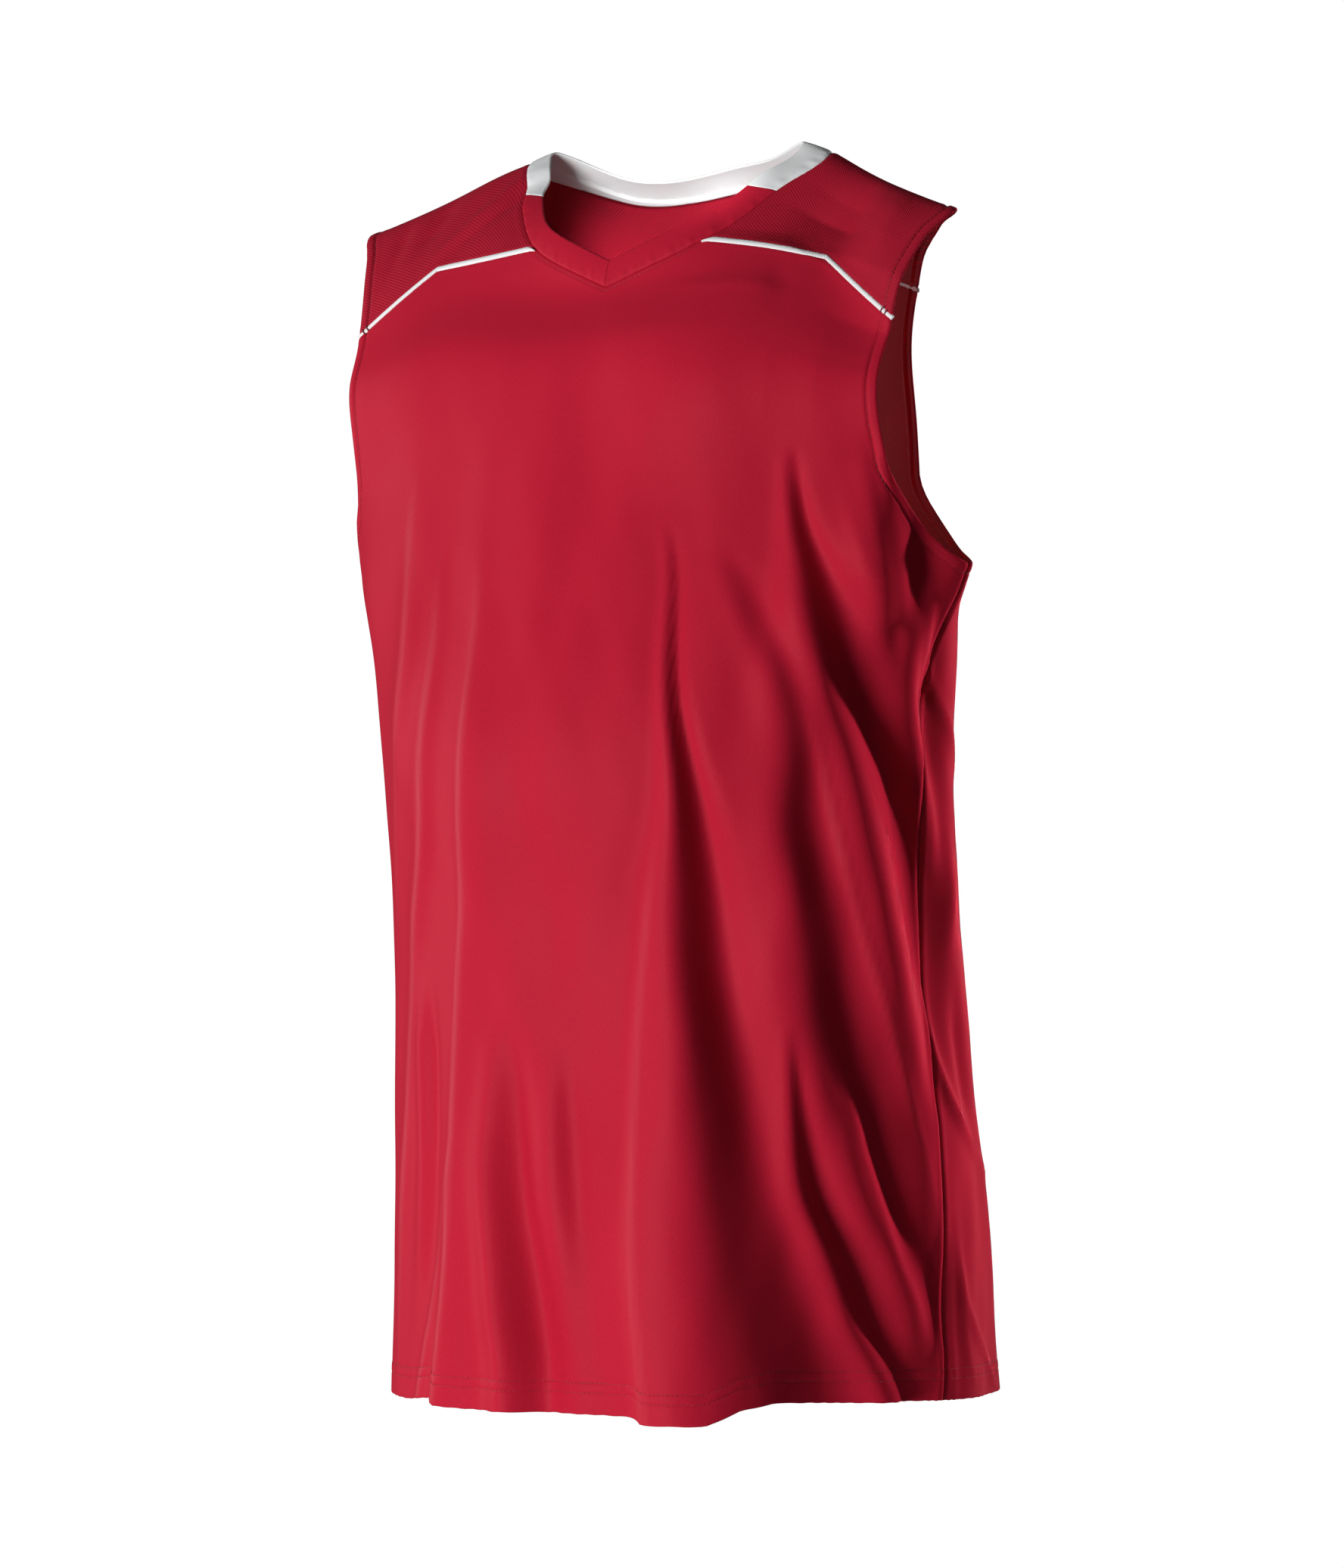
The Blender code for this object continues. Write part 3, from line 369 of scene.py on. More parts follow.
SHOULDER_CREASES = (
    # beside the wearer's left neck edge the yoke sinks, rises and sinks again towards the arm
    crease(RIDGE, (-2, 150, 18, 0), (14, 147, 21, -4), (32, 142, 23, -9.6), (50, 135, 25, -12),
           (64, 128, 28, -7), (80, 120, 32, 0), lie=Lie.DOWN_CHEST),
    crease(RIDGE, (-4, 160, 8, 0), (14, 157, 8, -1.8), (34, 154, 8, -2.8), (54, 151, 8, -2.8),
           (72, 146, 8, -1.8), (92, 140, 8, 0), lie=Lie.DOWN_CHEST),
    crease(RIDGE, (0, 184, 8, 0), (22, 183, 9, 1.6), (46, 180, 9, 1.8), (75, 170, 9, 0),
           lie=Lie.DOWN_CHEST),
    # the wearer's right: soft slanting bands from the neck point
    crease(ROLL, (10, -94, 6, 0), (26, -104, 7, 1.6), (44, -117, 8, 2), (60, -136, 9, 1.5),
           (78, -152, 9, 0), lie=Lie.DOWN_CHEST),
    crease(RIDGE, (6, -160, 8, 0), (22, -160, 9, -2.2), (38, -164, 10, -2.6), (56, -170, 10, 0),
           lie=Lie.DOWN_CHEST),
    crease(RIDGE, (8, -190, 6, 0), (30, -188, 7, -2), (50, -188, 7, -1.4), (70, -188, 7, 0),
           lie=Lie.DOWN_CHEST),
    # the upper chest turns away below the yoke and comes forward again
    crease(ROLL, (10, 160, 32, 0), (50, 154, 34, -2), (90, 141, 36, -4.4), (130, 126, 36, -6.6),
           (160, 118, 34, -5.4), (195, 114, 28, 0), lie=Lie.ACROSS_CHEST),
    crease(ROLL, (70, 134, 40, 0), (90, 142, 44, 4.6), (112, 140, 50, 10.5), (145, 116, 52, 9.8),
           (182, 110, 46, 5.4), (250, 110, 36, 0), lie=Lie.DOWN_CHEST),
    crease(RIDGE, (-190, 268, 52, 0), (-110, 270, 56, 6), (-10, 276, 58, 9), (80, 270, 56, 6),
           (150, 262, 52, 0), lie=Lie.ACROSS_CHEST),
    crease(RIDGE, (86, 118, 8, 0), (104, 122, 9, -1.5), (128, 126, 9, 0), lie=Lie.DOWN_CHEST),
    crease(ROLL, (-170, 120, 20, 0), (-120, 126, 22, -1), (-60, 130, 22, -1.1), (-10, 132, 22, 0),
           lie=Lie.ACROSS_CHEST),
)


# ---- the cloth form ----
@dataclass(frozen=True)
class ClothForm:
    """The worn form of the jersey, from the shoulder line to the hem, and the seams on it."""

    neck_point_x: float = 0.114
    shoulder_tip_x: float = 0.218
    shoulder_drop: float = 0.042
    shoulder_forward: float = 0.016
    ridge_rounding: float = 0.008
    underarm_level: float = -0.2545
    hem_level: float = -0.771
    shoulder_spread: float = 0.005
    spread_start_x: float = 0.090
    spread_depth: float = 0.140
    band_grows: Pair = (0.26, -0.18)
    band_grows_at: Pair = (0.135, 0.045)
    neck_shifts: Pair = (0.0056, 0.0110)
    neck_shift_place: Pair = (0.106, 0.013)
    neck_shift_reach: Pair = (0.020, 0.035)
    shoulder_line_front: float = 0.035
    shoulder_line_back: float = 0.100
    chest_share_width: float = 0.090
    armhole_base: float = -0.190
    armhole_roundness: Pair = (1.5, 2.0)
    normal_step: float = 0.0004
    settle_rounds: int = 40
    dense: int = 2000
    # x, rise
    shoulder_line: Rows = (
        (-0.220, 0.0030), (-0.150, 0.0010), (-0.092, 0.0035), (-0.050, -0.0030), (0.018, 0.0060),
        (0.045, 0.0040), (0.075, -0.0010), (0.112, -0.0005), (0.143, -0.0025), (0.220, -0.0005))
    # level, half width, front depth, back depth, seam y, front and back squareness, chest share,
    # slope share
    sections: Rows = (
        (0.0000, 0.238, 0.000, 0.000, 0.000, 4.00, 2.20, 0.000, 1.00),
        (-0.006, 0.238, 0.0125, 0.014, 0.000, 4.00, 2.20, 0.000, 1.00),
        (-0.020, 0.238, 0.026, 0.029, 0.000, 4.00, 2.20, 0.000, 1.00),
        (-0.038, 0.237, 0.039, 0.042, 0.000, 4.00, 2.10, 0.008, 1.00),
        (-0.056, 0.237, 0.050, 0.052, 0.000, 3.80, 2.00, 0.016, 0.98),
        (-0.084, 0.235, 0.067, 0.063, 0.000, 3.30, 1.80, 0.006, 0.88),
        (-0.115, 0.233, 0.086, 0.073, -0.001, 3.00, 1.60, 0.003, 0.64),
        (-0.150, 0.231, 0.097, 0.083, -0.003, 2.60, 1.46, 0.002, 0.35),
        (-0.200, 0.228, 0.101, 0.094, -0.007, 2.15, 1.36, 0.001, 0.08),
        (-0.2545, 0.222, 0.109, 0.104, -0.011, 2.00, 1.45, 0.000, 0.00),
        (-0.300, 0.206, 0.127, 0.114, -0.011, 2.00, 1.78, 0.000, 0.00),
        (-0.362, 0.1925, 0.146, 0.113, -0.009, 2.00, 2.15, 0.000, 0.00),
        (-0.463, 0.189, 0.149, 0.109, 0.004, 2.00, 2.30, 0.000, 0.00),
        (-0.555, 0.189, 0.152, 0.118, 0.008, 2.00, 2.30, 0.000, 0.00),
        (-0.648, 0.192, 0.158, 0.132, 0.012, 2.00, 2.30, 0.000, 0.00),
        (-0.771, 0.195, 0.158, 0.152, 0.011, 2.00, 2.30, 0.000, 0.00))
    # turn in degrees, rise of the hem edge
    hem: Rows = (
        (-180, 0.006), (-90, 0.003), (-40, 0.003), (-27.5, 0.0068), (-26, 0.0064),
        (-24.2, 0.0028), (-17, 0.0025), (14, 0.0040), (20, 0.0040), (21.6, 0.0030),
        (23.6, -0.0022), (28, -0.004), (34, 0.000), (40, 0.009), (46, 0.0125),
        (60, 0.0110), (85, 0.0095), (105, 0.008), (180, 0.006))
    # level, side, x, inwards, backwards, upwards
    neckline: Rows = (
        (-0.0840, 1, 0.000, 0.0000, 0.0041, 0.0168), (-0.0700, 1, 0.035, 0.0055, 0.0036, 0.0150),
        (-0.0560, 1, 0.064, 0.0082, 0.0040, 0.0138), (-0.0380, 1, 0.085, 0.0124, 0.0056, 0.0102),
        (-0.0212, 1, 0.0993, 0.0160, 0.0060, 0.0070), (0.0000, 1, 0.114, 0.0180, -0.0005, 0.0060),
        (-0.0025, -1, 0.107, 0.0156, -0.006, 0.0080), (-0.0080, -1, 0.089, 0.0112, -0.0098, 0.0094),
        (-0.0165, -1, 0.054, 0.0052, -0.012, 0.0103), (-0.0235, -1, 0.000, 0.0, -0.0125, 0.0105))
    # x, real height
    front_piping: Rows = ((0.064, -0.0560), (0.144, -0.0655), (0.199, -0.1070))
    back_piping: Rows = ((0.000, -0.0640), (0.105, -0.0700), (0.155, -0.0850))
    # level, half width of the armhole edge on the front and on the back
    armhole: Rows = (
        (0.0000, 0.2180, 0.2180), (-0.012, 0.2130, 0.2000), (-0.030, 0.2065, 0.1790),
        (-0.055, 0.2010, 0.1620), (-0.080, 0.1985, 0.1520), (-0.115, 0.1980, 0.1450),
        (-0.155, 0.1970, 0.1475), (-0.190, 0.1985, 0.1510))
    creases: tuple[Crease, ...] = FRONT_CREASES + BACK_CREASES + SHOULDER_CREASES
    ripple_seed: int = 11
    # count, slowest and fastest wave in radians a metre, steepness, height
    ripples: Rows = ((14, 45.0, 120.0, 0.22, 0.00042), (12, 130.0, 260.0, 0.35, 0.00009))
    ripple_start: float = -0.05
    ripple_reach: float = 0.20
    armhole_crowding: float = 1.6
    track_step: float = 0.0005
    search_from: float = 0.02
    curves: dict[str, object] = field(default_factory=dict)

    def __post_init__(self) -> None:
        """Fits the curves that the tables give."""
        table = np.array(self.sections).T
        steps = np.hypot(np.diff(table[0]), np.diff(0.5 * (table[2] + table[3])))
        down = np.concatenate(([0.0], np.cumsum(steps)))
        front, back = (np.column_stack((
            sign * down, table[0], table[1], sign * table[depth], table[4], table[square],
            max(sign, 0.0) * table[7], table[8]))
            for depth, square, sign in ((2, 5, 1.0), (3, 6, -1.0)))
        self.curves["section"] = Spline(np.concatenate((back[:0:-1], front)))
        self.curves["down"] = np.linspace(0.0, down[-1], self.dense)
        self.curves["level"] = self.section(self.curves["down"])[:, 0]
        self.curves["rise"] = Spline(np.array(self.shoulder_line))
        rows = [(float(self.down_at(level, Side(side))), x, inwards, backwards, upwards)
                for level, side, x, inwards, backwards, upwards in self.neckline]
        rows += [(d, -x, -i, b, u) for d, x, i, b, u in rows[-2:-5:-1]]
        neck = np.array(rows)
        along = np.hypot(np.diff(neck[:, 0]), np.diff(neck[:, 1]))
        neck = np.column_stack((np.concatenate(([0.0], np.cumsum(along))), neck))
        self.curves["neck_rows"] = neck
        self.curves["neck"] = Spline(neck)
        arm = np.array(self.armhole)
        front_arm = np.column_stack((self.down_at(arm[:, 0]), arm[:, 1]))
        back_arm = np.column_stack((self.down_at(arm[:, 0], Side.BACK), arm[:, 2]))
        self.curves["arm"] = Spline(np.concatenate((back_arm[:0:-1], front_arm)))
        chance = np.random.default_rng(self.ripple_seed)
        waves = []
        for count, low, high, steep, height in self.ripples:
            heading, pace = chance.uniform(0, math.tau, count), chance.uniform(low, high, count)
            rise = pace * steep * chance.uniform(-1.0, 1.0, count)
            waves.append(np.column_stack((pace * np.cos(heading), pace * np.sin(heading), rise,
                                          chance.uniform(0, math.tau, count),
                                          np.full(count, height))))
        self.curves["waves"] = np.concatenate(waves)

    # -- reading the tables --
    def section(self, down: Array) -> Array:
        """Level, half width, depth, seam y, squareness, chest share and slope share."""
        return self.curves["section"](down)

    def down_at(self, level: Array, side: Side = Side.FRONT) -> Array:
        """Cloth length down from the shoulder line at a level, negative on the back."""
        found = np.interp(-np.asarray(level, float), -self.curves["level"], self.curves["down"])
        return found * side.value

    def past_neck(self, x: Array) -> Array:
        """How far out from the neck point a place lies, with a soft start."""
        out = np.abs(x) - self.neck_point_x
        return 0.5 * (out + np.sqrt(out ** 2 + self.ridge_rounding ** 2))

    def plain(self, angle: Array, down: Array) -> Array:
        """Works out points of the form without creases.

        Args:
            angle: Angles from the centre line.
            down: Cloth lengths.

        Returns:
            Points along a new last axis.
        """
        level, width, depth, seam_y, square, chest, slope = np.moveaxis(self.section(down), -1, 0)
        across = np.sin(angle)
        shape = np.sign(np.cos(angle)) * (
            1.0 - np.minimum(np.abs(across), 1.0) ** square + 1e-12) ** (1.0 / square)
        x = width * across
        out = self.past_neck(x) / (self.shoulder_tip_x - self.neck_point_x) * slope
        chest = chest * np.exp(-(x / self.chest_share_width) ** 2)
        far = smooth((-x - self.spread_start_x) / (self.shoulder_tip_x - self.spread_start_x))
        aside = -self.shoulder_spread * far * smooth(1.0 - np.abs(down) / self.spread_depth)
        (centre, low), (reach, deep) = self.neck_shift_place, self.neck_shift_reach
        left, right = self.neck_shifts
        aside += ((left * bell(x, centre, reach) + right * bell(x, -centre, reach))
                  * smooth(1.0 - np.abs(down - low) / deep))
        fade = np.where(down > 0.0, self.shoulder_line_front, self.shoulder_line_back)
        ends = self.shoulder_line[0][0], self.shoulder_line[-1][0]
        rise = self.curves["rise"](np.clip(x, *ends))[..., 0] * smooth(1.0 - np.abs(down) / fade)
        return np.stack((x + aside, seam_y - self.shoulder_forward * out - depth * shape - chest,
                         level - self.shoulder_drop * out + rise), -1)

    def moves(self, angle: Array, down: Array, step: float) -> tuple[Array, Array]:
        """How far points move over a step to both sides, in angle and in cloth length."""
        return (self.plain(angle + step, down) - self.plain(angle - step, down),
                self.plain(angle, down + step) - self.plain(angle, down - step))

    def plain_normal(self, angle: Array, down: Array) -> Array:
        """Outward unit normals of the form without creases.

        Args:
            angle: Angles from the centre line.
            down: Cloth lengths.

        Returns:
            Normals along a new last axis.
        """
        across, along = self.moves(angle, down, self.normal_step)
        normal = np.cross(along, across)
        return normal / np.linalg.norm(normal, axis=-1, keepdims=True)

    def turn_of(self, angle: Array, down: Array) -> Array:
        """Degrees round the body, 0 at the centre front and 180 at the centre back."""
        degrees = np.degrees(angle)
        return np.where(down >= 0.0, degrees, np.copysign(180.0, degrees) - degrees)

    def ripple(self, point: Array) -> Array:
        """Faint irregular unevenness of hanging cloth, in metres.

        Args:
            point: Points of the form.

        Returns:
            Outward heights.
        """
        total = np.zeros(point.shape[:-1])
        for kx, ky, kz, phase, height in self.curves["waves"]:
            total += height * np.sin(kx * point[..., 0] + ky * point[..., 1]
                                     + kz * point[..., 2] + phase)
        return total * smooth((self.ripple_start - point[..., 2]) / self.ripple_reach)

    def draped(self, angle: Array, down: Array) -> Array:
        """Works out points of the cloth with its creases.

        Args:
            angle: Angles from the centre line.
            down: Cloth lengths.

        Returns:
            Points along a new last axis.
        """
        angle, down = np.broadcast_arrays(np.asarray(angle, float), np.asarray(down, float))
        point = self.plain(angle, down)
        turn, z, x = self.turn_of(angle, down), point[..., 2], point[..., 0]
        height = self.ripple(point)
        for crease in self.creases:
            height = height + crease.lift(turn, z, x, down)[0]
        return point + self.plain_normal(angle, down) * height[..., None]

    def shine(self, angle: Array, down: Array) -> Array:
        """Shares of the paler shine where the cloth is stretched over a crest.

        Args:
            angle: Angles from the centre line.
            down: Cloth lengths.

        Returns:
            Values from 0 to 1.
        """
        point = self.plain(angle, down)
        turn, total = self.turn_of(angle, down), np.zeros(angle.shape)
        for crease in self.creases:
            if crease.shine:
                total += crease.lift(turn, point[..., 2], point[..., 0], down)[1]
        return np.clip(total, 0.0, 1.0)

    def angle_at(self, x: Array, down: Array) -> Array:
        """Angle of a place given by its distance from the centre line."""
        return np.arcsin(np.clip(x / self.section(down)[..., 1], -1.0, 1.0))

    # -- edges and seams --
    def neck(self, along: Array) -> Array:
        """Cloth length, x and the band's vector inwards, backwards and upwards."""
        return self.curves["neck"](along)

    @property
    def neck_length(self) -> float:
        """Length of the half neckline, from the V point to the centre back."""
        return float(self.curves["neck_rows"][len(self.neckline) - 1, 0])

    def armhole_angle(self, down: Array) -> Array:
        """Angle of the armhole edge; below its base it sweeps out to the underarm.

        Args:
            down: Cloth lengths.

        Returns:
            Positive angles.
        """
        down = np.asarray(down, float)
        sign = np.where(down >= 0.0, 1.0, -1.0)
        base = self.down_at(self.armhole_base) * sign
        under = self.down_at(self.underarm_level) * sign
        upper = np.where(np.abs(down) > np.abs(base), base, down)
        edge = self.angle_at(self.curves["arm"](upper)[..., 0], upper)
        past = np.clip((down - base) / (under - base), 0.0, 1.0)
        power = np.where(sign > 0.0, *self.armhole_roundness)
        sweep = (1.0 - past ** power) ** (1.0 / power)
        return QUARTER - (QUARTER - edge) * sweep

    def armhole_line(self, count: int) -> Places:
        """Places along one armhole edge, closer together at the underarm.

        Args:
            count: Number of places.

        Returns:
            Positive angles and cloth lengths.
        """
        ease = np.sin(np.linspace(-QUARTER, QUARTER, count))
        down = np.sign(ease) * float(self.down_at(self.underarm_level)) * (
            1.0 - (1.0 - np.abs(ease)) ** self.armhole_crowding)
        return self.armhole_angle(down), down

    def hem_down(self, angle: Array, side: Side) -> Array:
        """Cloth length of the hem edge at an angle of one side."""
        turn, table = self.turn_of(angle, np.full(angle.shape, side.value)), np.array(self.hem)
        return self.down_at(self.hem_level + np.interp(turn, table[:, 0], table[:, 1]), side)

    def piping_down(self, x: Array, side: Side) -> Array:
        """Cloth length of a piping line at a distance from the centre line.

        Args:
            x: Distances from the centre line.
            side: Front or back.

        Returns:
            Cloth lengths, negative on the back.
        """
        line = np.array(self.front_piping if side is Side.FRONT else self.back_piping)
        xs, heights = line.T
        slope = (heights[-1] - heights[-2]) / (xs[-1] - xs[-2])
        height = np.where(x > xs[-1], heights[-1] + slope * (x - xs[-1]), np.interp(x, xs, heights))
        down = self.down_at(height, side)
        out = self.past_neck(x) / (self.shoulder_tip_x - self.neck_point_x)
        for _ in range(self.settle_rounds):
            down = self.down_at(height + self.shoulder_drop * out * self.section(down)[..., -1],
                                side)
        return down

    def neck_down(self, x: Array) -> Array:
        """Cloth length of the front neckline at a distance from the centre line.

        Args:
            x: Distances from the centre line.

        Returns:
            Cloth lengths.
        """
        dense = self.neck(np.linspace(self.neck_length, 0.0, self.dense))
        half = dense[dense[:, 0] >= 0.0]
        half = half[np.argsort(half[:, 1])]
        return np.interp(x, half[:, 1], half[:, 0])

    def piping_ends(self, side: Side, offset: float) -> Pair:
        """Finds where a line beside the piping starts and where it meets the armhole.

        Args:
            side: Front or back.
            offset: Cloth length from the piping's middle line.

        Returns:
            The two distances from the centre line.
        """
        def zero(gap: Callable[[float], float], low: float, high: float) -> float:
            """Halves the stretch until the gap is gone.

            Args:
                gap: Function that rises through 0.
                low: Start of the stretch.
                high: Its end.

            Returns:
                Where the gap is 0.
            """
            for _ in range(self.settle_rounds):
                middle = 0.5 * (low + high)
                low, high = (middle, high) if gap(middle) < 0.0 else (low, middle)
            return 0.5 * (low + high)

        def past_neckline(x: float) -> float:
            """How far the line lies below the neckline."""
            return float(abs(self.piping_down(x, side) + offset) - abs(self.neck_down(x)))

        def past_armhole(x: float) -> float:
            """How far the line lies outside the armhole."""
            down = self.piping_down(x, side) + offset
            return float(x - self.section(down)[1] * math.sin(self.armhole_angle(down)))

        knee = (self.front_piping if side is Side.FRONT else self.back_piping)[1][0]
        start = zero(past_neckline, self.search_from, knee) if side is Side.FRONT else 0.0
        return start, zero(past_armhole, knee, self.shoulder_tip_x)

    def band_point(self, along: Array, inward: Array, hand: float) -> Array:
        """Points of the neck band, inward 0 at the seam and 1 at the folded edge.

        Args:
            along: Lengths along the neckline.
            inward: Shares across the band.
            hand: 1 for the wearer's left half and -1 for the right.

        Returns:
            Points along a new last axis.
        """
        row = self.neck(along)
        down, x = row[..., 0], row[..., 1]
        grown = 1.0 + self.band_grows[int(hand < 0.0)] * bell(along, *self.band_grows_at)
        vector = row[..., 2:] * np.array((-hand, 1.0, 1.0)) * grown[..., None]
        return (self.draped(hand * self.angle_at(x, down), down)
                + vector * np.maximum(inward, 0.0)[..., None])

    def facing_point(self, along: Array, under: Array, hand: float) -> Array:
        """Points of the cloth beyond the neck seam, on the side away from the neck.

        Args:
            along: Lengths along the neckline.
            under: Distances from the seam.
            hand: 1 for the wearer's left half and -1 for the right.

        Returns:
            Points along a new last axis.
        """
        row, step = self.neck(along), self.track_step
        track = self.neck(along + step)[..., :2] - self.neck(along - step)[..., :2]
        track /= np.linalg.norm(track, axis=-1, keepdims=True) + 1e-12
        down = row[..., 0] + track[..., 1] * under
        x = row[..., 1] - track[..., 0] * under
        return self.draped(hand * self.angle_at(x, down), down)


# ---- edges of the cloth and their relief ----
class SeamMap:
    """Lines of all edges and seams on the draped form, and how far points lie from them."""

    reach = 0.016
    samples = 2600
    piping_samples = 2000

    def __init__(self, form: ClothForm) -> None:
        """Lays the lines out.

        Args:
            form: The cloth form.
        """
        arm, down = form.armhole_line(self.samples)
        neck = form.neck(np.linspace(0.0, form.neck_length, self.samples))
        side = np.linspace(float(form.down_at(form.underarm_level)),
                           float(form.down_at(form.hem_level)), self.samples)
        lines: dict[str, list[Array]] = {"armhole": [], "neck": [], "side": [], "piping": []}
        for hand in (1.0, -1.0):
            lines["armhole"].append(form.draped(hand * arm, down))
            lines["neck"].append(form.draped(hand * form.angle_at(neck[:, 1], neck[:, 0]),
                                             neck[:, 0]))
            lines["side"].append(form.draped(hand * np.full(side.shape, QUARTER), side))
            for part in Side:
                start, end = form.piping_ends(part, 0.0)
                x = np.linspace(start, end, self.piping_samples)
                place = form.piping_down(x, part)
                lines["piping"].append(form.draped(hand * form.angle_at(x, place), place))
        self.trees = {name: self.tree(np.concatenate(parts)) for name, parts in lines.items()}

    @staticmethod
    def tree(points: Array) -> KDTree:
        """A search tree of points.

        Args:
            points: Points of the lines.

        Returns:
            The search tree.
        """
        found = KDTree(len(points))
        for index, point in enumerate(points.tolist()):
            found.insert(point, index)
        found.balance()
        return found

    def distance(self, name: str, points: Array) -> Array:
        """Distances from a kind of line.

        Args:
            name: Kind of line.
            points: Points of a grid.

        Returns:
            Distances, no larger than the reach.
        """
        tree = self.trees[name]
        flat = points.reshape(-1, 3)
        found = np.full(len(flat), self.reach)
        for index, point in enumerate(flat.tolist()):
            hits = tree.find(point)
            if hits[2] < self.reach:
                found[index] = hits[2]
        return found.reshape(points.shape[:-1])


@dataclass(frozen=True)
class EdgeWork:
    """Heights of turned edges, needle rows and seams above the plain cloth, in metres."""

    needle_row: float = 0.0066
    hem_rows: Pair = (0.0130, 0.0190)
    edge_end: float = 0.0155
    puff_height: float = 0.0008
    puff_rise: float = 0.0014
    puff_fall: Pair = (0.0044, 0.0022)
    groove: Pair = (0.0008, 0.0007)
    swell_height: float = 0.00020
    swell: Pair = (0.0086, 0.0013)
    flatter_below: Pair = (-0.150, 0.09)
    flatter_by: float = 0.45
    seam_depth: float = 0.0006
    side_seam_depth: float = 0.0009
    neck_seam_depth: float = 0.0003
    seam_half: float = 0.0012
    seam_puff_height: float = 0.00022
    seam_puff: Pair = (0.0036, 0.0017)
    # pace round the hem, strength and pace of its wander; then pace, phase and share
    pucker_pace: Triple = (690.0, 1.3, 61.0)
    pucker_waves: Rows = ((437.0, 2.0, 0.7), (1130.0, 0.7, 0.5))
    pucker_height: float = 0.00013
    pucker: Pair = (0.0150, 0.0058)
    hem_groove: Pair = (0.00042, 0.0006)
    hem_rise: float = 0.00028
    hem_end: Pair = (0.0186, 0.0012)

    def at_armhole(self, d: Array, z: Array) -> Array:
        """Works out the puffed turned edge and the needle row beside it.

        Args:
            d: Distances from the edge.
            z: Heights in the garment.

        Returns:
            Heights above the cloth.
        """
        end, fall = self.puff_fall
        puff = smooth(d / self.puff_rise) * (1.0 - smooth((d - end) / fall))
        depth, half = self.groove
        start, reach = self.flatter_below
        strength = 1.0 - self.flatter_by * smooth((start - z) / reach)
        work = strength * (self.puff_height * puff - depth * bell(d, self.needle_row, half)
                           + self.swell_height * bell(d, *self.swell))
        return work * np.where(d < self.edge_end, 1.0, 0.0)

    def at_seam(self, d: Array, depth: Optional[float] = None) -> Array:
        """A sewn seam: the cloth dips into it and is a little puffed beside it.

        Args:
            d: Distances from the seam.
            depth: Depth of the dip, by default that of a plain seam.

        Returns:
            Heights.
        """
        depth = self.seam_depth if depth is None else depth
        return -depth * bell(d, 0.0, self.seam_half) + self.seam_puff_height * bell(
            d, *self.seam_puff)

    def at_hem(self, d: Array, u: Array) -> Array:
        """The turned hem with two needle rows and small puckers between them.

        Args:
            d: Distances above the hem edge.
            u: Lengths round the garment.

        Returns:
            Heights.
        """
        pace, strength, slow = self.pucker_pace
        waves = np.sin(u * pace + strength * np.sin(u * slow))
        for pace, phase, share in self.pucker_waves:
            waves = waves + share * np.sin(u * pace + phase)
        depth, half = self.hem_groove
        grooves = sum(bell(d, row, half) for row in self.hem_rows)
        end, reach = self.hem_end
        turned = self.hem_rise * (1.0 - smooth((d - end) / reach))
        return turned - depth * grooves + self.pucker_height * waves * bell(d, *self.pucker)


# ---- grids and shells ----
def respace(grid: Places, form: ClothForm, first: Sequence[float], last: Sequence[float],
            middle: int) -> Places:
    """Spaces the columns of a grid anew by their real distance from both ends of each row.

    Args:
        grid: Fine grid of angles and cloth lengths.
        form: The cloth form that gives lengths.
        first: Distances from the start of each row, rising from 0.
        last: Distances from its end, rising from 0.
        middle: Even steps between them.

    Returns:
        The new grid.
    """
    angle, down = grid
    length = lengths(form.plain(angle, down))
    new_angle, new_down = [], []
    for row_angle, row_down, row_length in zip(angle, down, length):
        whole = row_length[-1]
        share = min(1.0, whole / (3.0 * (first[-1] + last[-1]) + 1e-9))
        begin, end = np.array(first) * share, whole - np.array(last)[::-1] * share
        even = np.linspace(begin[-1], end[0], middle + 1)[1:-1]
        place = np.concatenate((begin, even, end))
        new_angle.append(np.interp(place, row_length, row_angle))
        new_down.append(np.interp(place, row_length, row_down))
    return np.array(new_angle), np.array(new_down)


def grid_normals(point: Array) -> Array:
    """Unit normals of a grid of points whose rows run up and columns run to the left hand."""
    normal = np.cross(np.gradient(point, axis=1), np.gradient(point, axis=0))
    return normal / np.maximum(np.linalg.norm(normal, axis=-1, keepdims=True), 1e-12)


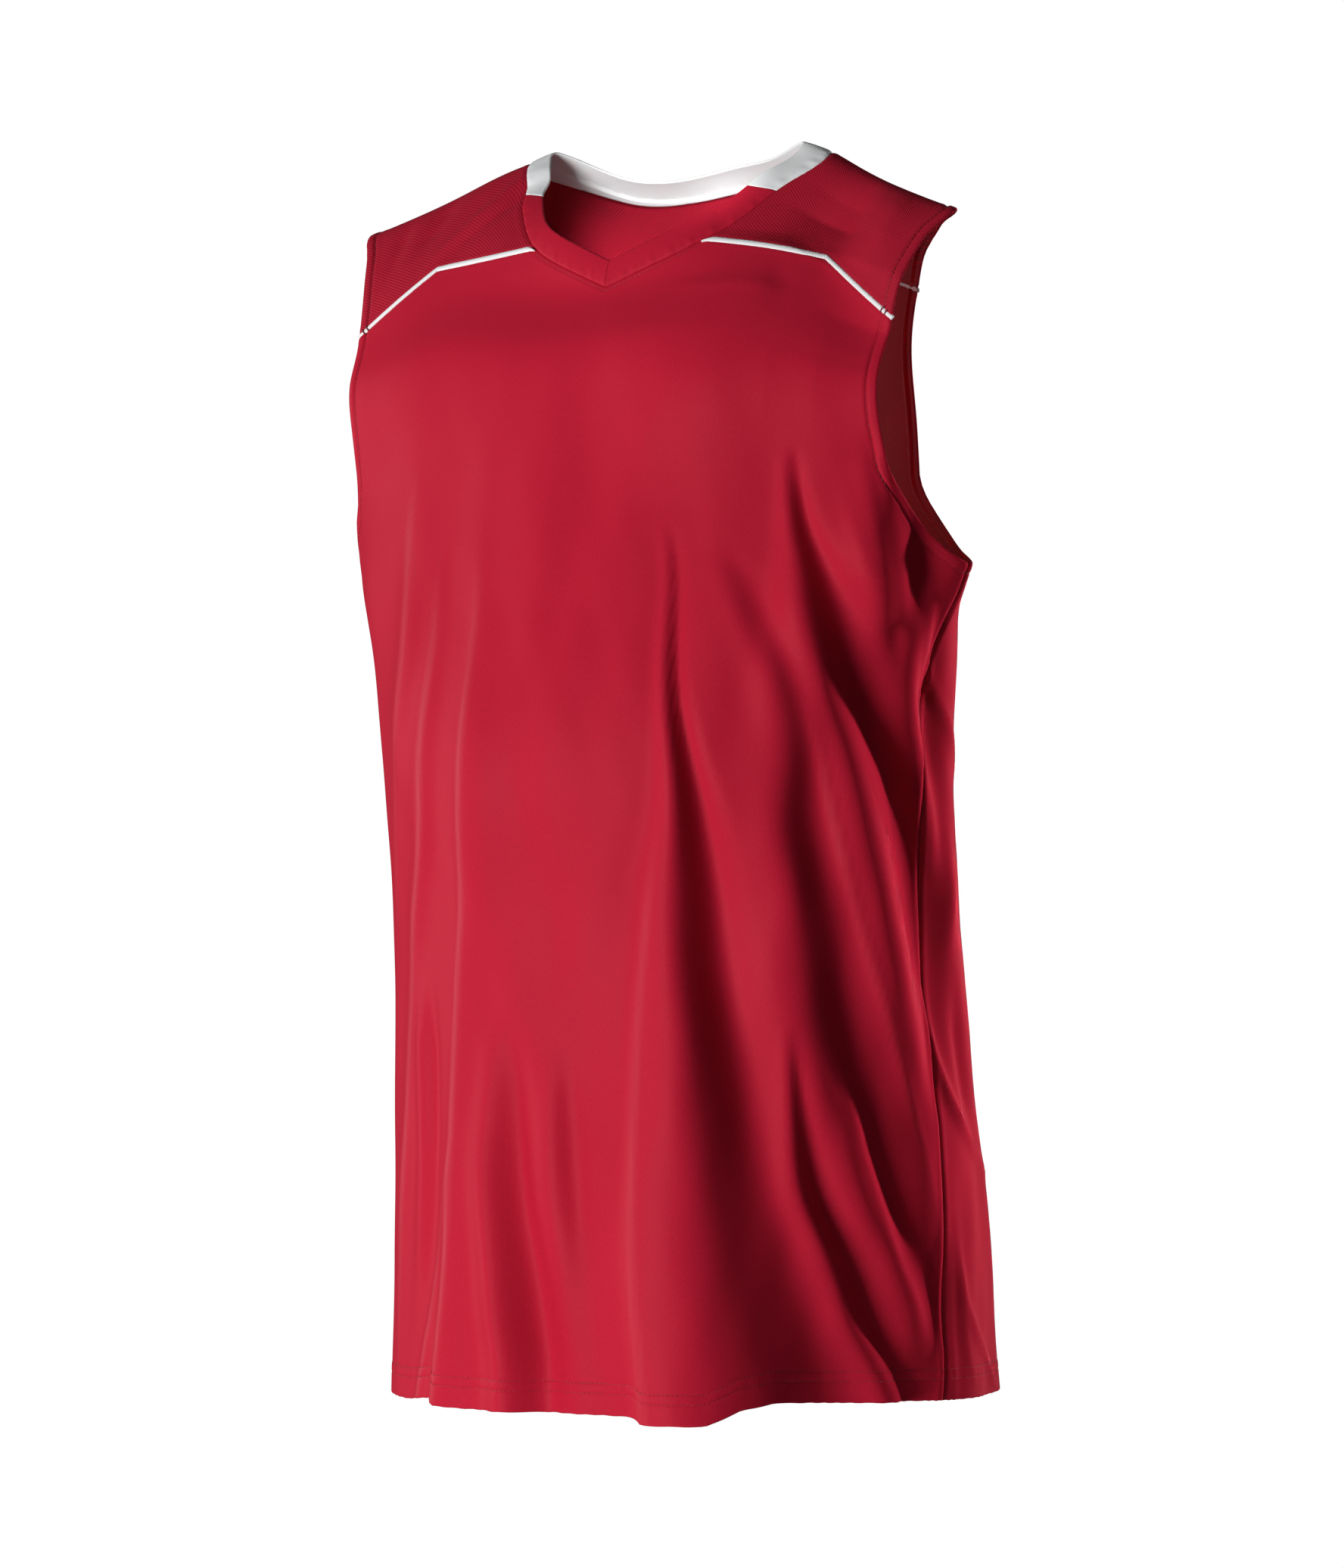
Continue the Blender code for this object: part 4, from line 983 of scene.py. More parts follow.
@dataclass
class Cloth:
    """A grid of points in the middle of the cloth with what its shell needs."""

    point: Array
    normal: Array
    uv: Array
    outside: Array
    inside: Array
    shine: Optional[Array] = None

    def shell(self, name: str, finish: Material) -> Object:
        """Builds the closed shell.

        Args:
            name: Name of the piece.
            finish: Its material.

        Returns:
            The new object at the origin.
        """
        rows, columns = self.point.shape[:2]
        count = rows * columns
        index = np.arange(count).reshape(rows, columns)
        cells = np.stack((index[:-1, :-1], index[:-1, 1:], index[1:, 1:], index[1:, :-1]),
                         -1).reshape(-1, 4)
        loop = np.concatenate((index[0, :-1], index[:-1, -1], index[-1, :0:-1], index[:0:-1, 0]))
        after = np.roll(loop, -1)
        rim = np.stack((loop, loop + count, after + count, after), -1)
        faces = np.concatenate((cells, cells[:, ::-1] + count, rim))
        outer = self.point + self.normal * self.outside[..., None]
        inner = self.point - self.normal * self.inside[..., None]
        points = np.concatenate((outer.reshape(-1, 3), inner.reshape(-1, 3)))
        mesh = bpy.data.meshes.new(name)
        mesh.from_pydata(points.tolist(), [], faces.tolist())
        mesh.shade_smooth()
        layer = mesh.uv_layers.new(name="cloth")
        flat_uv = np.concatenate((self.uv.reshape(-1, 2), self.uv.reshape(-1, 2)))
        layer.data.foreach_set("uv", flat_uv[faces.ravel()].astype(np.float32).ravel())
        shine = np.zeros(count) if self.shine is None else self.shine.ravel()
        values = np.concatenate((shine, np.zeros(count))).astype(np.float32)
        mesh.attributes.new("crest_shine", "FLOAT", "POINT").data.foreach_set("value", values)
        mesh.materials.append(finish)
        mesh.validate()
        return linked(name, mesh)


# radius of a cut edge, depth of the cloth below the piping, and the thinnest share at a rim
CLOTH_EDGE, HIDDEN, THINNEST = 0.0009, 0.0009, 0.12
# how far the second layer of a turned edge reaches inside, and its own edge
HEM_TURNING, ARM_TURNING, TURNING_STEP = 0.0188, 0.0074, 0.0010


def turning(distance: Array, end: float) -> Array:
    """Share of the second layer that a turned edge has inside."""
    return 1.0 - smooth((distance - end) / TURNING_STEP)


def raised(point: Array, relief: Array) -> Array:
    """Moves a grid of points out by a relief."""
    return point + grid_normals(point) * relief[..., None]


def rim_share(distance: Array, radius: float) -> Array:
    """Share of the full thickness near a rounded edge."""
    t = np.clip(distance / radius, 0.0, 1.0)
    return np.maximum(np.sqrt(1.0 - (1.0 - t) ** 2), THINNEST)


# distances of the grid's rows and columns from a turned edge, a seam and the hem
NEAR_EDGE = (0.0, 0.0003, 0.0008, 0.0016, 0.0026, 0.0036, 0.0046, 0.0054, 0.0060, 0.0066, 0.0072,
             0.0080, 0.0092, 0.0110, 0.0135)
NEAR_SEAM = (0.0, 0.0005, 0.0011, 0.0018, 0.0027, 0.0038, 0.0052, 0.0072)
NEAR_HEM = (0.0, 0.0003, 0.0008, 0.0016, 0.0030, 0.0050, 0.0075, 0.0100, 0.0116, 0.0124, 0.0130,
            0.0136, 0.0144, 0.0158, 0.0174, 0.0184, 0.0190, 0.0196, 0.0206, 0.0225, 0.0255)


# ---- finishes ----
class Tree:
    """Adds nodes to a node tree."""

    def __init__(self, tree: bpy.types.NodeTree) -> None:
        """Takes the tree."""
        self.tree = tree

    def feed(self, socket: Socket, value: object) -> None:
        """Links an input to a socket, or sets it to a constant.

        Args:
            socket: The input.
            value: A socket or a constant.
        """
        if isinstance(value, Socket):
            self.tree.links.new(value, socket)
        else:
            socket.default_value = value

    def add(self, kind: str, values: Optional[dict[str, object]] = None,
            **settings: object) -> bpy.types.Node:
        """Adds a node.

        Args:
            kind: Blender's name of the node type.
            values: Constants or sockets to link, by input name or number.
            settings: Properties of the node.

        Returns:
            The node.
        """
        node = self.tree.nodes.new(kind)
        for name, value in settings.items():
            setattr(node, name, value)
        for name, value in (values or {}).items():
            self.feed(node.inputs[name], value)
        return node


class Nodes(Tree):
    """Builds the nodes of one material."""

    def __init__(self, name: str) -> None:
        """Starts a material with an empty shader.

        Args:
            name: Name of the material.
        """
        self.material = bpy.data.materials.new(name)
        self.material.use_nodes = True
        super().__init__(self.material.node_tree)
        self.shader = self.tree.nodes["Principled BSDF"]

    def math(self, operation: str, *values: object) -> Socket:
        """Result of a sum on sockets or numbers."""
        return self.add("ShaderNodeMath", dict(enumerate(values)), operation=operation).outputs[0]

    def mix(self, share: object, first: object, second: object) -> Socket:
        """A mix of two colours.

        Args:
            share: Share of the second colour.
            first: A colour or its socket.
            second: A colour or its socket.

        Returns:
            Socket of the colour.
        """
        colours = ((*colour, 1.0) if isinstance(colour, tuple) else colour
                   for colour in (first, second))
        return self.add("ShaderNodeMix", {"Factor": share, **dict(zip((6, 7), colours))},
                        data_type="RGBA").outputs[2]

    def place(self) -> tuple[Socket, Socket, Socket]:
        """The cloth's own place in metres: vector, across and up."""
        uv = self.add("ShaderNodeUVMap", uv_map="cloth").outputs[0]
        parts = self.add("ShaderNodeSeparateXYZ", {0: uv})
        return uv, parts.outputs[0], parts.outputs[1]

    def wave(self, place: object, period: float) -> Socket:
        """A sine wave from 0 to 1 along a place."""
        turn = self.math("MULTIPLY", place, math.tau / period)
        return self.math("MULTIPLY_ADD", self.math("SINE", turn), 0.5, 0.5)

    def noise(self, vector: object, scale: float, detail: float = 2.0) -> Socket:
        """Smooth noise from 0 to 1."""
        return self.add("ShaderNodeTexNoise", {"Vector": vector, "Scale": scale,
                                               "Detail": detail}).outputs[0]

    def cloudy(self, place: object, across: float, up: float, detail: float = 3.0) -> Socket:
        """Noise with its own pace across and up the cloth."""
        scaled = self.add("ShaderNodeMapping", {"Vector": place, "Scale": (across, up, 1.0)})
        return self.noise(scaled.outputs[0], 1.0, detail)

    def range(self, value: object, low: float, high: float, to_low: float,
              to_high: float) -> Socket:
        """A value mapped onto another stretch."""
        return self.add("ShaderNodeMapRange", {0: value, 1: low, 2: high, 3: to_low, 4: to_high}
                        ).outputs[0]

    def bump(self, height: object, strength: float, distance: float,
             before: Optional[Socket] = None) -> Socket:
        """A bumped normal.

        Args:
            height: Socket of the height.
            strength: Share of the effect.
            distance: Height of the bump in metres.
            before: A bumped normal to add to.

        Returns:
            Socket of the normal.
        """
        values: dict[str, object] = {"Height": height, "Strength": strength, "Distance": distance}
        if before is not None:
            values["Normal"] = before
        return self.add("ShaderNodeBump", values).outputs[0]

    def tinted(self, colour: object, value: object) -> Socket:
        """A colour made lighter or darker by a value round 1."""
        return self.add("ShaderNodeHueSaturation", {"Color": colour, "Value": value}).outputs[0]

    def finish(self, colour: object, roughness: object, normal: Socket,
               **constants: object) -> Material:
        """Sets the shader.

        Args:
            colour: Socket of the base colour.
            roughness: Socket or number.
            normal: Socket of the bumped normal.
            constants: Other inputs by name, with _ for spaces, as numbers or sockets.

        Returns:
            The material.
        """
        given = {"Base_Color": colour, "Normal": normal, "Roughness": roughness, **constants}
        for name, value in given.items():
            self.feed(self.shader.inputs[name.replace("_", " ")], value)
        return self.material


RED_SHINE = (1.0, 0.62, 0.64, 1.0)
DULL_SHEEN = {"Sheen_Weight": 0.04, "Sheen_Roughness": 0.35, "Sheen_Tint": (1.0, 0.40, 0.44, 1.0),
              "Specular_IOR_Level": 0.12, "Specular_Tint": RED_SHINE}


@dataclass(frozen=True)
class SatinKnit:
    """Smooth, softly shining polyester knit of the front and the front neck band."""

    name: str = "satin_knit_red"
    colour: Triple = (0.490, 0.0118, 0.035)
    deep: Triple = (0.440, 0.0100, 0.029)
    wale: float = 0.00075
    course: float = 0.00060

    def build(self) -> Material:
        """Fine wales and courses, faint mottling along the wales and a soft sheen.

        Returns:
            The material.
        """
        n = Nodes(self.name)
        uv, across, up = n.place()
        cloudy = n.cloudy(uv, 14.0, 9.0)
        grain = n.cloudy(uv, 900.0, 380.0, 2.0)
        colour = n.mix(n.range(cloudy, 0.3, 0.7, 0.0, 0.35), self.colour, self.deep)
        colour = n.tinted(colour, n.range(grain, 0.2, 0.8, 0.93, 1.07))
        knit = n.math("ADD", n.wave(across, self.wale),
                      n.math("MULTIPLY", n.wave(up, self.course), 0.6))
        normal = n.bump(knit, 0.16, 0.00010)
        normal = n.bump(grain, 0.10, 0.00018, normal)
        crest = n.add("ShaderNodeAttribute", attribute_name="crest_shine").outputs["Fac"]
        shine = n.range(crest, 0.0, 1.0, 0.06, 0.50)
        rough = n.range(cloudy, 0.3, 0.7, 0.46, 0.53)
        return n.finish(colour, rough, normal, Sheen_Weight=0.05, Sheen_Roughness=0.35,
                        Sheen_Tint=(1.0, 0.45, 0.48, 1.0), Specular_IOR_Level=shine,
                        Specular_Tint=RED_SHINE)


@dataclass(frozen=True)
class MeshKnit:
    """Knit with small eyelets in staggered rows, for the back."""

    name: str = "mesh_knit_red"
    colour: Triple = (0.470, 0.0118, 0.033)
    # colour of the painted shade in the eyelets
    deep: Triple = (0.240, 0.0050, 0.015)
    pitch: float = 0.0017

    def build(self) -> Material:
        """Eyelets where two slanted waves meet, painted darker as painted shade, with soft
        mottling.

        Returns:
            The material.
        """
        n = Nodes(self.name)
        uv, across, up = n.place()
        slant = n.math("ADD", across, n.math("MULTIPLY", up, 1.25))
        other = n.math("SUBTRACT", across, n.math("MULTIPLY", up, 1.25))
        cells = n.math("MULTIPLY", n.wave(slant, self.pitch), n.wave(other, self.pitch))
        cloudy = n.cloudy(uv, 16.0, 10.0)
        # the eyelets are painted darker: painted shade in the holes
        colour = n.mix(n.range(cells, 0.55, 0.95, 0.0, 0.75), self.colour, self.deep)
        colour = n.tinted(colour, n.range(cloudy, 0.3, 0.7, 0.94, 1.06))
        normal = n.bump(cells, 0.55, -0.00030)
        return n.finish(colour, 0.58, normal, **DULL_SHEEN)


@dataclass(frozen=True)
class RibMesh:
    """Light mesh with fine slanting ribs, for the yoke."""

    name: str = "rib_mesh_red"
    colour: Triple = (0.460, 0.0115, 0.033)
    # colour of the painted shade in the rib grooves and holes
    deep: Triple = (0.270, 0.0060, 0.018)
    rib: float = 0.0016
    slant: float = 0.80

    def build(self) -> Material:
        """Ribs broken up by small holes, with painted shade in the grooves and holes.

        Returns:
            The material.
        """
        n = Nodes(self.name)
        uv, across, up = n.place()
        wobble = n.math("MULTIPLY", n.cloudy(uv, 60.0, 60.0, 2.0), 0.0010)
        ribs_at = n.math("ADD", n.math("MULTIPLY_ADD", across, self.slant, up), wobble)
        ribs = n.wave(ribs_at, self.rib * math.hypot(1.0, self.slant))
        holes_at = n.math("MULTIPLY_ADD", up, -self.slant, across)
        holes = n.wave(holes_at, self.rib * 0.9 * math.hypot(1.0, self.slant))
        open_work = n.math("MULTIPLY", n.math("SUBTRACT", 1.0, ribs), holes)
        cloudy = n.cloudy(uv, 18.0, 12.0)
        # the grooves between the ribs and the holes are painted darker: painted shade
        colour = n.mix(n.range(ribs, 0.15, 0.75, 0.34, 0.0), self.colour, self.deep)
        colour = n.mix(n.range(open_work, 0.5, 0.9, 0.0, 0.42), colour, self.deep)
        colour = n.tinted(colour, n.range(cloudy, 0.3, 0.7, 0.94, 1.06))
        height = n.math("SUBTRACT", ribs, n.math("MULTIPLY", open_work, 0.8))
        normal = n.bump(height, 0.38, 0.00026)
        return n.finish(colour, 0.56, normal, **DULL_SHEEN)


@dataclass(frozen=True)
class WhiteKnit:
    """White knit of the back neck band and the piping."""

    name: str = "white_knit"
    colour: Triple = (0.93, 0.945, 0.95)
    # darker colour: painted shade in the rib grooves, and the faint random greyness
    deep: Triple = (0.74, 0.77, 0.785)
    rib: float = 0.0009

    def build(self) -> Material:
        """Fine ribs across the strip with painted shade in their grooves, and a faint greyness.

        Returns:
            The material.
        """
        n = Nodes(self.name)
        uv, across, up = n.place()
        ribs = n.wave(across, self.rib)
        stitch = n.wave(up, self.rib * 0.8)
        cloudy = n.cloudy(uv, 40.0, 40.0)
        # the grooves between the ribs are painted darker: painted shade
        share = n.math("MULTIPLY", n.math("SUBTRACT", 1.0, ribs), 0.18)
        colour = n.mix(n.math("ADD", share, n.range(cloudy, 0.3, 0.7, 0.0, 0.18)), self.colour,
                       self.deep)
        normal = n.bump(n.math("ADD", ribs, n.math("MULTIPLY", stitch, 0.5)), 0.30, 0.00014)
        return n.finish(colour, 0.50, normal, Sheen_Weight=0.20, Sheen_Roughness=0.4,
                        Specular_IOR_Level=0.5)


@dataclass(frozen=True)
class Thread:
    """Twisted polyester sewing thread."""

    name: str = "thread_red"
    colour: Triple = (0.330, 0.0085, 0.021)
    deep: Triple = (0.160, 0.0035, 0.010)

    def build(self) -> Material:
        """A fine mottled twist on the object's own place.

        Returns:
            The material.
        """
        n = Nodes(self.name)
        place = n.add("ShaderNodeTexCoord").outputs["Object"]
        twist = n.noise(place, 2600.0, 1.0)
        colour = n.mix(n.range(twist, 0.35, 0.65, 0.0, 0.8), self.colour, self.deep)
        normal = n.bump(twist, 0.35, 0.00008)
        return n.finish(colour, 0.40, normal, Sheen_Weight=0.2, Specular_IOR_Level=0.5)


@dataclass(frozen=True)
class PaleFloor:
    """Plain pale floor."""

    name: str = "pale_floor"
    colour: Triple = (0.86, 0.86, 0.86)

    def build(self) -> Material:
        """Matt paint with a faint unevenness.

        Returns:
            The material.
        """
        n = Nodes(self.name)
        place = n.add("ShaderNodeTexCoord").outputs["Object"]
        cloudy = n.noise(place, 3.0, 2.0)
        colour = n.tinted((*self.colour, 1.0), n.range(cloudy, 0.3, 0.7, 0.99, 1.01))
        return n.finish(colour, 0.9, n.bump(cloudy, 0.02, 0.001), Specular_IOR_Level=0.1)


# ---- the garment ----
@dataclass
class Maker:
    """What all sub-assemblies share: the form, the seams, the edge work and the finishes."""

    form: ClothForm
    seams: SeamMap
    edge: EdgeWork
    satin: Material
    mesh: Material
    rib: Material
    white: Material
    thread: Material

    def dress(self, piece: Object, slot: str, node: Optional[str] = None,
              flat: Optional[Pair] = None, area: Optional[float] = None,
              held: Hold = Hold.HUNG, rests_on: Sequence[str] = ()) -> Object:
        """Fixes a piece to the garment and hides the solid that it stands for, if one is given.

        Args:
            piece: The finished object.
            slot: Name of a material slot; not used.
            node: The solid that it stands for.
            flat: Width and length of its cut; not used.
            area: Flat area of its cut; not used.
            held: How it is held; not used.
            rests_on: What it hangs from or lies on; not used.

        Returns:
            The piece.
        """
        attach(piece, "root")
        if node is not None:
            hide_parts(node)
        LOG.info("%s: %d faces", piece.name, len(piece.data.polygons))
        return piece


@dataclass
class BodyPanel:
    """Front or back panel: the turned hem, half the armhole edges and the seams round it."""

    side: Side
    flat: Pair
    area: float
    slot: str
    thickness: float = 0.0009
    turned: float = 0.0008
    columns: int = 168
    body_rows: int = 116
    underarm_rows: int = 10
    sweep_rows: int = 16
    sweep_crowding: float = 1.8
    chest_rows: int = 42
    tuck: float = 0.0010
    samples: int = 481
    first_top: float = -0.06
    underarm_reach: float = 0.012
    seam_allowance: float = 0.0006
    side_seam_margin: float = 0.002
    needle_groove: Triple = (0.00028, 0.0024, 0.0006)
    serration: Triple = (0.00016, 1450.0, 0.0025)

    @property
    def name(self) -> str:
        """Name of the panel."""
        return f"{self.side.name.lower()}_panel"

    def places(self, form: ClothForm) -> Places:
        """Lays out the panel from the hem up to the neckline and piping.

        Args:
            form: The cloth form.

        Returns:
            Angles and cloth lengths of the grid.
        """
        sign = self.side.value
        start, _ = form.piping_ends(self.side, sign * self.tuck)
        shares = np.linspace(-1.0, 1.0, self.samples)
        top = np.full(shares.shape, float(form.down_at(self.first_top, self.side)))
        for _ in range(form.settle_rounds):
            x = np.abs(form.section(top)[..., 1] * np.sin(shares * form.armhole_angle(top)))
            line = form.piping_down(x, self.side) + sign * self.tuck
            top = np.where(x < start, form.neck_down(x), line) if sign > 0 else line
        base = float(form.down_at(form.armhole_base, self.side))
        under = float(form.down_at(form.underarm_level, self.side))
        hem = form.hem_down(QUARTER * shares, self.side)
        ones = np.ones_like(shares)
        near = sign * self.underarm_reach
        rows = [hem - sign * offset for offset in NEAR_HEM]
        last, top_row = rows[-1], top + sign * NEAR_SEAM[-1]
        rows += [last + (under + near - last) * t for t in steps(self.body_rows)]
        rows += [(under + near * (1.0 - t)) * ones for t in steps(self.underarm_rows)]
        rows += [(under + (base - under) * t ** self.sweep_crowding) * ones
                 for t in steps(self.sweep_rows)]
        rows += [base + (top_row - base) * t for t in steps(self.chest_rows)]
        rows += [top + sign * offset for offset in NEAR_SEAM[-2::-1]]
        down = np.array(rows)
        widest = QUARTER - self.seam_allowance
        reach = np.where(np.abs(down) >= abs(under) - 1e-9, widest,
                         np.minimum(form.armhole_angle(down), widest))
        angle = reach * shares
        if sign < 0:
            angle, down = angle[:, ::-1], down[:, ::-1]
        return respace((angle, down), form, NEAR_EDGE, NEAR_EDGE, self.columns)

    def build(self, maker: Maker, finish: Material) -> Object:
        """Makes the panel.

        Args:
            maker: Shared form and edge work.
            finish: The panel's cloth.

        Returns:
            The dressed piece.
        """
        form, edge, seams = maker.form, maker.edge, maker.seams
        angle, down = self.places(form)
        point = form.draped(angle, down)
        u = lengths(point)
        u = u - 0.5 * u[:, -1:]
        above_hem = np.abs(form.hem_down(angle, self.side) - down)
        z = point[..., 2]
        arm, side = seams.distance("armhole", point), seams.distance("side", point)
        piping, neck = seams.distance("piping", point), seams.distance("neck", point)
        side = np.where(z < form.underarm_level + self.side_seam_margin, side, seams.reach)
        relief = (edge.at_armhole(arm, z) + edge.at_seam(side, edge.side_seam_depth)
                  + edge.at_seam(piping) + edge.at_seam(neck, edge.neck_seam_depth)
                  + edge.at_hem(above_hem, u))
        if self.side is Side.FRONT:
            depth, middle, half = self.needle_groove
            relief = relief - depth * bell(neck, middle, half)
        point = raised(point, relief)
        height, pace, fade = self.serration
        point[..., 2] += height * np.sin(u * pace) * np.exp(-above_hem / fade)
        rim = np.minimum.reduce((arm, side, above_hem, np.maximum(piping - HIDDEN, 0.0), neck))
        half, share = 0.5 * self.thickness, rim_share(rim, CLOTH_EDGE)
        turned = self.turned * np.maximum(turning(above_hem, HEM_TURNING),
                                          turning(arm, ARM_TURNING))
        cloth = Cloth(point, grid_normals(point), np.stack((u, -np.abs(down)), -1), half * share,
                      (half + turned) * share, form.shine(angle, down))
        piece = cloth.shell(self.name + "_cloth", finish)
        return maker.dress(piece, self.slot, self.name, self.flat, self.area, Hold.HUNG, ["yoke"])


@dataclass
class Yoke:
    """The yoke over both shoulders and across the upper back."""

    flat: Pair = (0.50, 0.250)
    area: float = 0.052
    thickness: float = 0.0009
    turned: float = 0.0008
    stations: tuple[int, int, int, int] = (4, 5, 7, 9)
    fine_rows: tuple[int, int, int, int] = (60, 50, 60, 120)
    fine_columns: int = 160
    rows: int = 260
    columns: int = 84
    tuck: float = 0.0010

    def places(self, form: ClothForm) -> Places:
        """Lays out rows from the left front piping round the neck to the right front piping.

        Args:
            form: The cloth form.

        Returns:
            Angles and cloth lengths of the grid.
        """
        knee = form.front_piping[1][0]
        start, end = form.piping_ends(Side.FRONT, -self.tuck)
        x = np.sort(np.append(np.linspace(start, end, self.fine_columns), knee))
        front = np.stack((x, form.piping_down(x, Side.FRONT) - self.tuck), -1)
        length = form.neck_length
        dense = np.linspace(length, 0.0, form.dense)
        first = float(np.interp(front[0, 1], form.neck(dense)[:, 0], dense))
        marks = [first, *form.curves["neck_rows"][list(self.stations), 0]]
        neck = form.neck(spread(marks, self.fine_rows))[:, 1::-1]
        _, corner = form.piping_ends(Side.BACK, self.tuck)
        corner_down = float(form.piping_down(corner, Side.BACK) + self.tuck)
        to_shoulder = self.fine_rows[0] + self.fine_rows[1]
        arm = spread((front[-1, 1], 0.0, corner_down), (to_shoulder, self.fine_rows[2]))
        edge_x = form.section(arm)[:, 1] * np.sin(form.armhole_angle(arm))
        back = np.linspace(corner, 0.0, self.fine_rows[3] + 1)[1:]
        outer = np.concatenate((np.stack((edge_x, arm), -1),
                                np.stack((back, form.piping_down(back, Side.BACK) + self.tuck),
                                         -1)))
        s = np.linspace(0.0, 1.0, len(x))[:, None]
        bend = front - (front[0] + (front[-1] - front[0]) * s)
        fade = np.clip(1.0 - np.arange(len(neck)) / to_shoulder, 0.0, 1.0)[:, None, None]
        half = neck[:, None] + (outer - neck)[:, None] * s + bend * fade
        place = np.concatenate((half, (half * np.array((-1.0, 1.0)))[-2::-1]))
        angle, down = form.angle_at(place[..., 0], place[..., 1]), place[..., 1]
        angle, down = respace((angle.T, down.T), form, NEAR_SEAM, NEAR_SEAM, self.rows)
        return respace((angle.T, down.T), form, NEAR_SEAM, NEAR_EDGE, self.columns)

    def build(self, maker: Maker) -> Object:
        """Makes the yoke.

        Args:
            maker: Shared form and edge work.

        Returns:
            The dressed piece.
        """
        form, edge, seams = maker.form, maker.edge, maker.seams
        angle, down = self.places(form)
        point = form.draped(angle, down)
        arm, neck = seams.distance("armhole", point), seams.distance("neck", point)
        piping = seams.distance("piping", point)
        point = raised(point, edge.at_armhole(arm, point[..., 2]) + edge.at_seam(piping)
                       + edge.at_seam(neck, edge.neck_seam_depth))
        rim = np.minimum.reduce((arm, np.maximum(piping - HIDDEN, 0.0), neck))
        half, share = 0.5 * self.thickness, rim_share(rim, CLOTH_EDGE)
        x = form.section(down)[..., 1] * np.sin(angle)
        cloth = Cloth(point, grid_normals(point), np.stack((x, -down), -1), half * share,
                      (half + self.turned * turning(arm, ARM_TURNING)) * share,
                      form.shine(angle, down))
        piece = cloth.shell("yoke_cloth", maker.rib)
        return maker.dress(piece, "red_rib_mesh", "yoke", self.flat, self.area, Hold.DRAPED)


@dataclass
class Piping:
    """The white strips of piping between the yoke and the two panels."""

    width: float = 0.0039
    proud: float = 0.0012
    across: int = 12
    steps: int = 260
    past_neckline: float = 0.0012
    past_armhole: float = 0.0004
    end_taper: float = 0.010
    end_bend: float = 0.0026
    end_width: float = 0.30
    full_at: float = 0.75
    lift: float = 0.0002
    end_lift: float = 0.0004
    inside: Pair = (0.0001, 0.0004)
    front_cut: tuple[Pair, float] = ((0.0105, 0.170), 0.0006)
    back_cut: tuple[Pair, float] = ((0.0105, 0.330), 0.0012)

    def strip(self, maker: Maker, name: str, x: Array, down: Array, width: Array, lift: Array,
              hand: float) -> Object:
        """Sweeps a half-round strip along a line on the cloth.

        Args:
            maker: Shared form.
            name: Name of the piece.
            x: Distances of the middle line from the centre line.
            down: Its cloth lengths.
            width: Widths along it.
            lift: Heights of the whole strip above the cloth.
            hand: 1 or -1 for the side of the garment.

        Returns:
            The piece.
        """
        form = maker.form
        line = np.stack((hand * x, down), -1)
        along = np.gradient(line, axis=0)
        along /= np.linalg.norm(along, axis=-1, keepdims=True)
        aside = np.stack((-along[:, 1], along[:, 0]), -1) * hand
        s = np.sin(np.linspace(-QUARTER, QUARTER, self.across + 1))
        place = line[None] + aside[None] * (0.5 * width)[None, :, None] * s[:, None, None]
        angle = form.angle_at(place[..., 0], place[..., 1])
        point = form.draped(angle, place[..., 1])
        if np.cross(point[-1, 0] - point[0, 0], point[0, 1] - point[0, 0]) @ (
                form.plain_normal(angle[:1, :1], place[:1, :1, 1])[0, 0]) > 0.0:
            point, place, s = point[::-1], place[::-1], s[::-1]
        normal = grid_normals(point)
        round_top = np.sqrt(np.maximum(1.0 - s ** 2, 0.0))[:, None]
        length = lengths(point[len(s) // 2][None])[0]
        uv = np.stack(np.broadcast_arrays(length[None, :], 0.5 * self.width * s[:, None]), -1)
        outside = lift[None, :] + self.proud * round_top
        flat, deep = self.inside
        inside = np.broadcast_to(flat + deep * round_top, outside.shape)
        return Cloth(point, normal, uv, outside, inside).shell(name, maker.white)

    def build(self, maker: Maker) -> list[Object]:
        """Makes the two front strips and the one across the back.

        Args:
            maker: Shared form.

        Returns:
            The dressed pieces.
        """
        form, made = maker.form, []
        start, end = form.piping_ends(Side.FRONT, 0.0)
        for name, hand in HANDS:
            x = np.linspace(start - self.past_neckline, end + self.past_armhole, self.steps)
            t = np.clip((x - x[0]) / self.end_taper, 0.0, 1.0)
            down = form.piping_down(x, Side.FRONT) + self.end_bend * (1.0 - t) ** 2
            width = self.width * (self.end_width
                                  + (1.0 - self.end_width) * smooth(t / self.full_at))
            lift = self.lift + self.end_lift * (1.0 - t)
            piece = self.strip(maker, f"piping_front_{name}_strip", x, down, width, lift, hand)
            made.append(maker.dress(piece, "white_knit", f"piping_front_{name}", *self.front_cut,
                                    Hold.DRAPED, ["yoke"]))
        _, end = form.piping_ends(Side.BACK, 0.0)
        x = np.linspace(-end - self.past_armhole, end + self.past_armhole, 2 * self.steps)
        down = form.piping_down(np.abs(x), Side.BACK)
        piece = self.strip(maker, "piping_back_strip", x, down, np.full(x.shape, self.width),
                           np.full(x.shape, self.lift), 1.0)
        made.append(maker.dress(piece, "white_knit", "piping_back", *self.back_cut, Hold.DRAPED,
                                ["yoke"]))
        return made


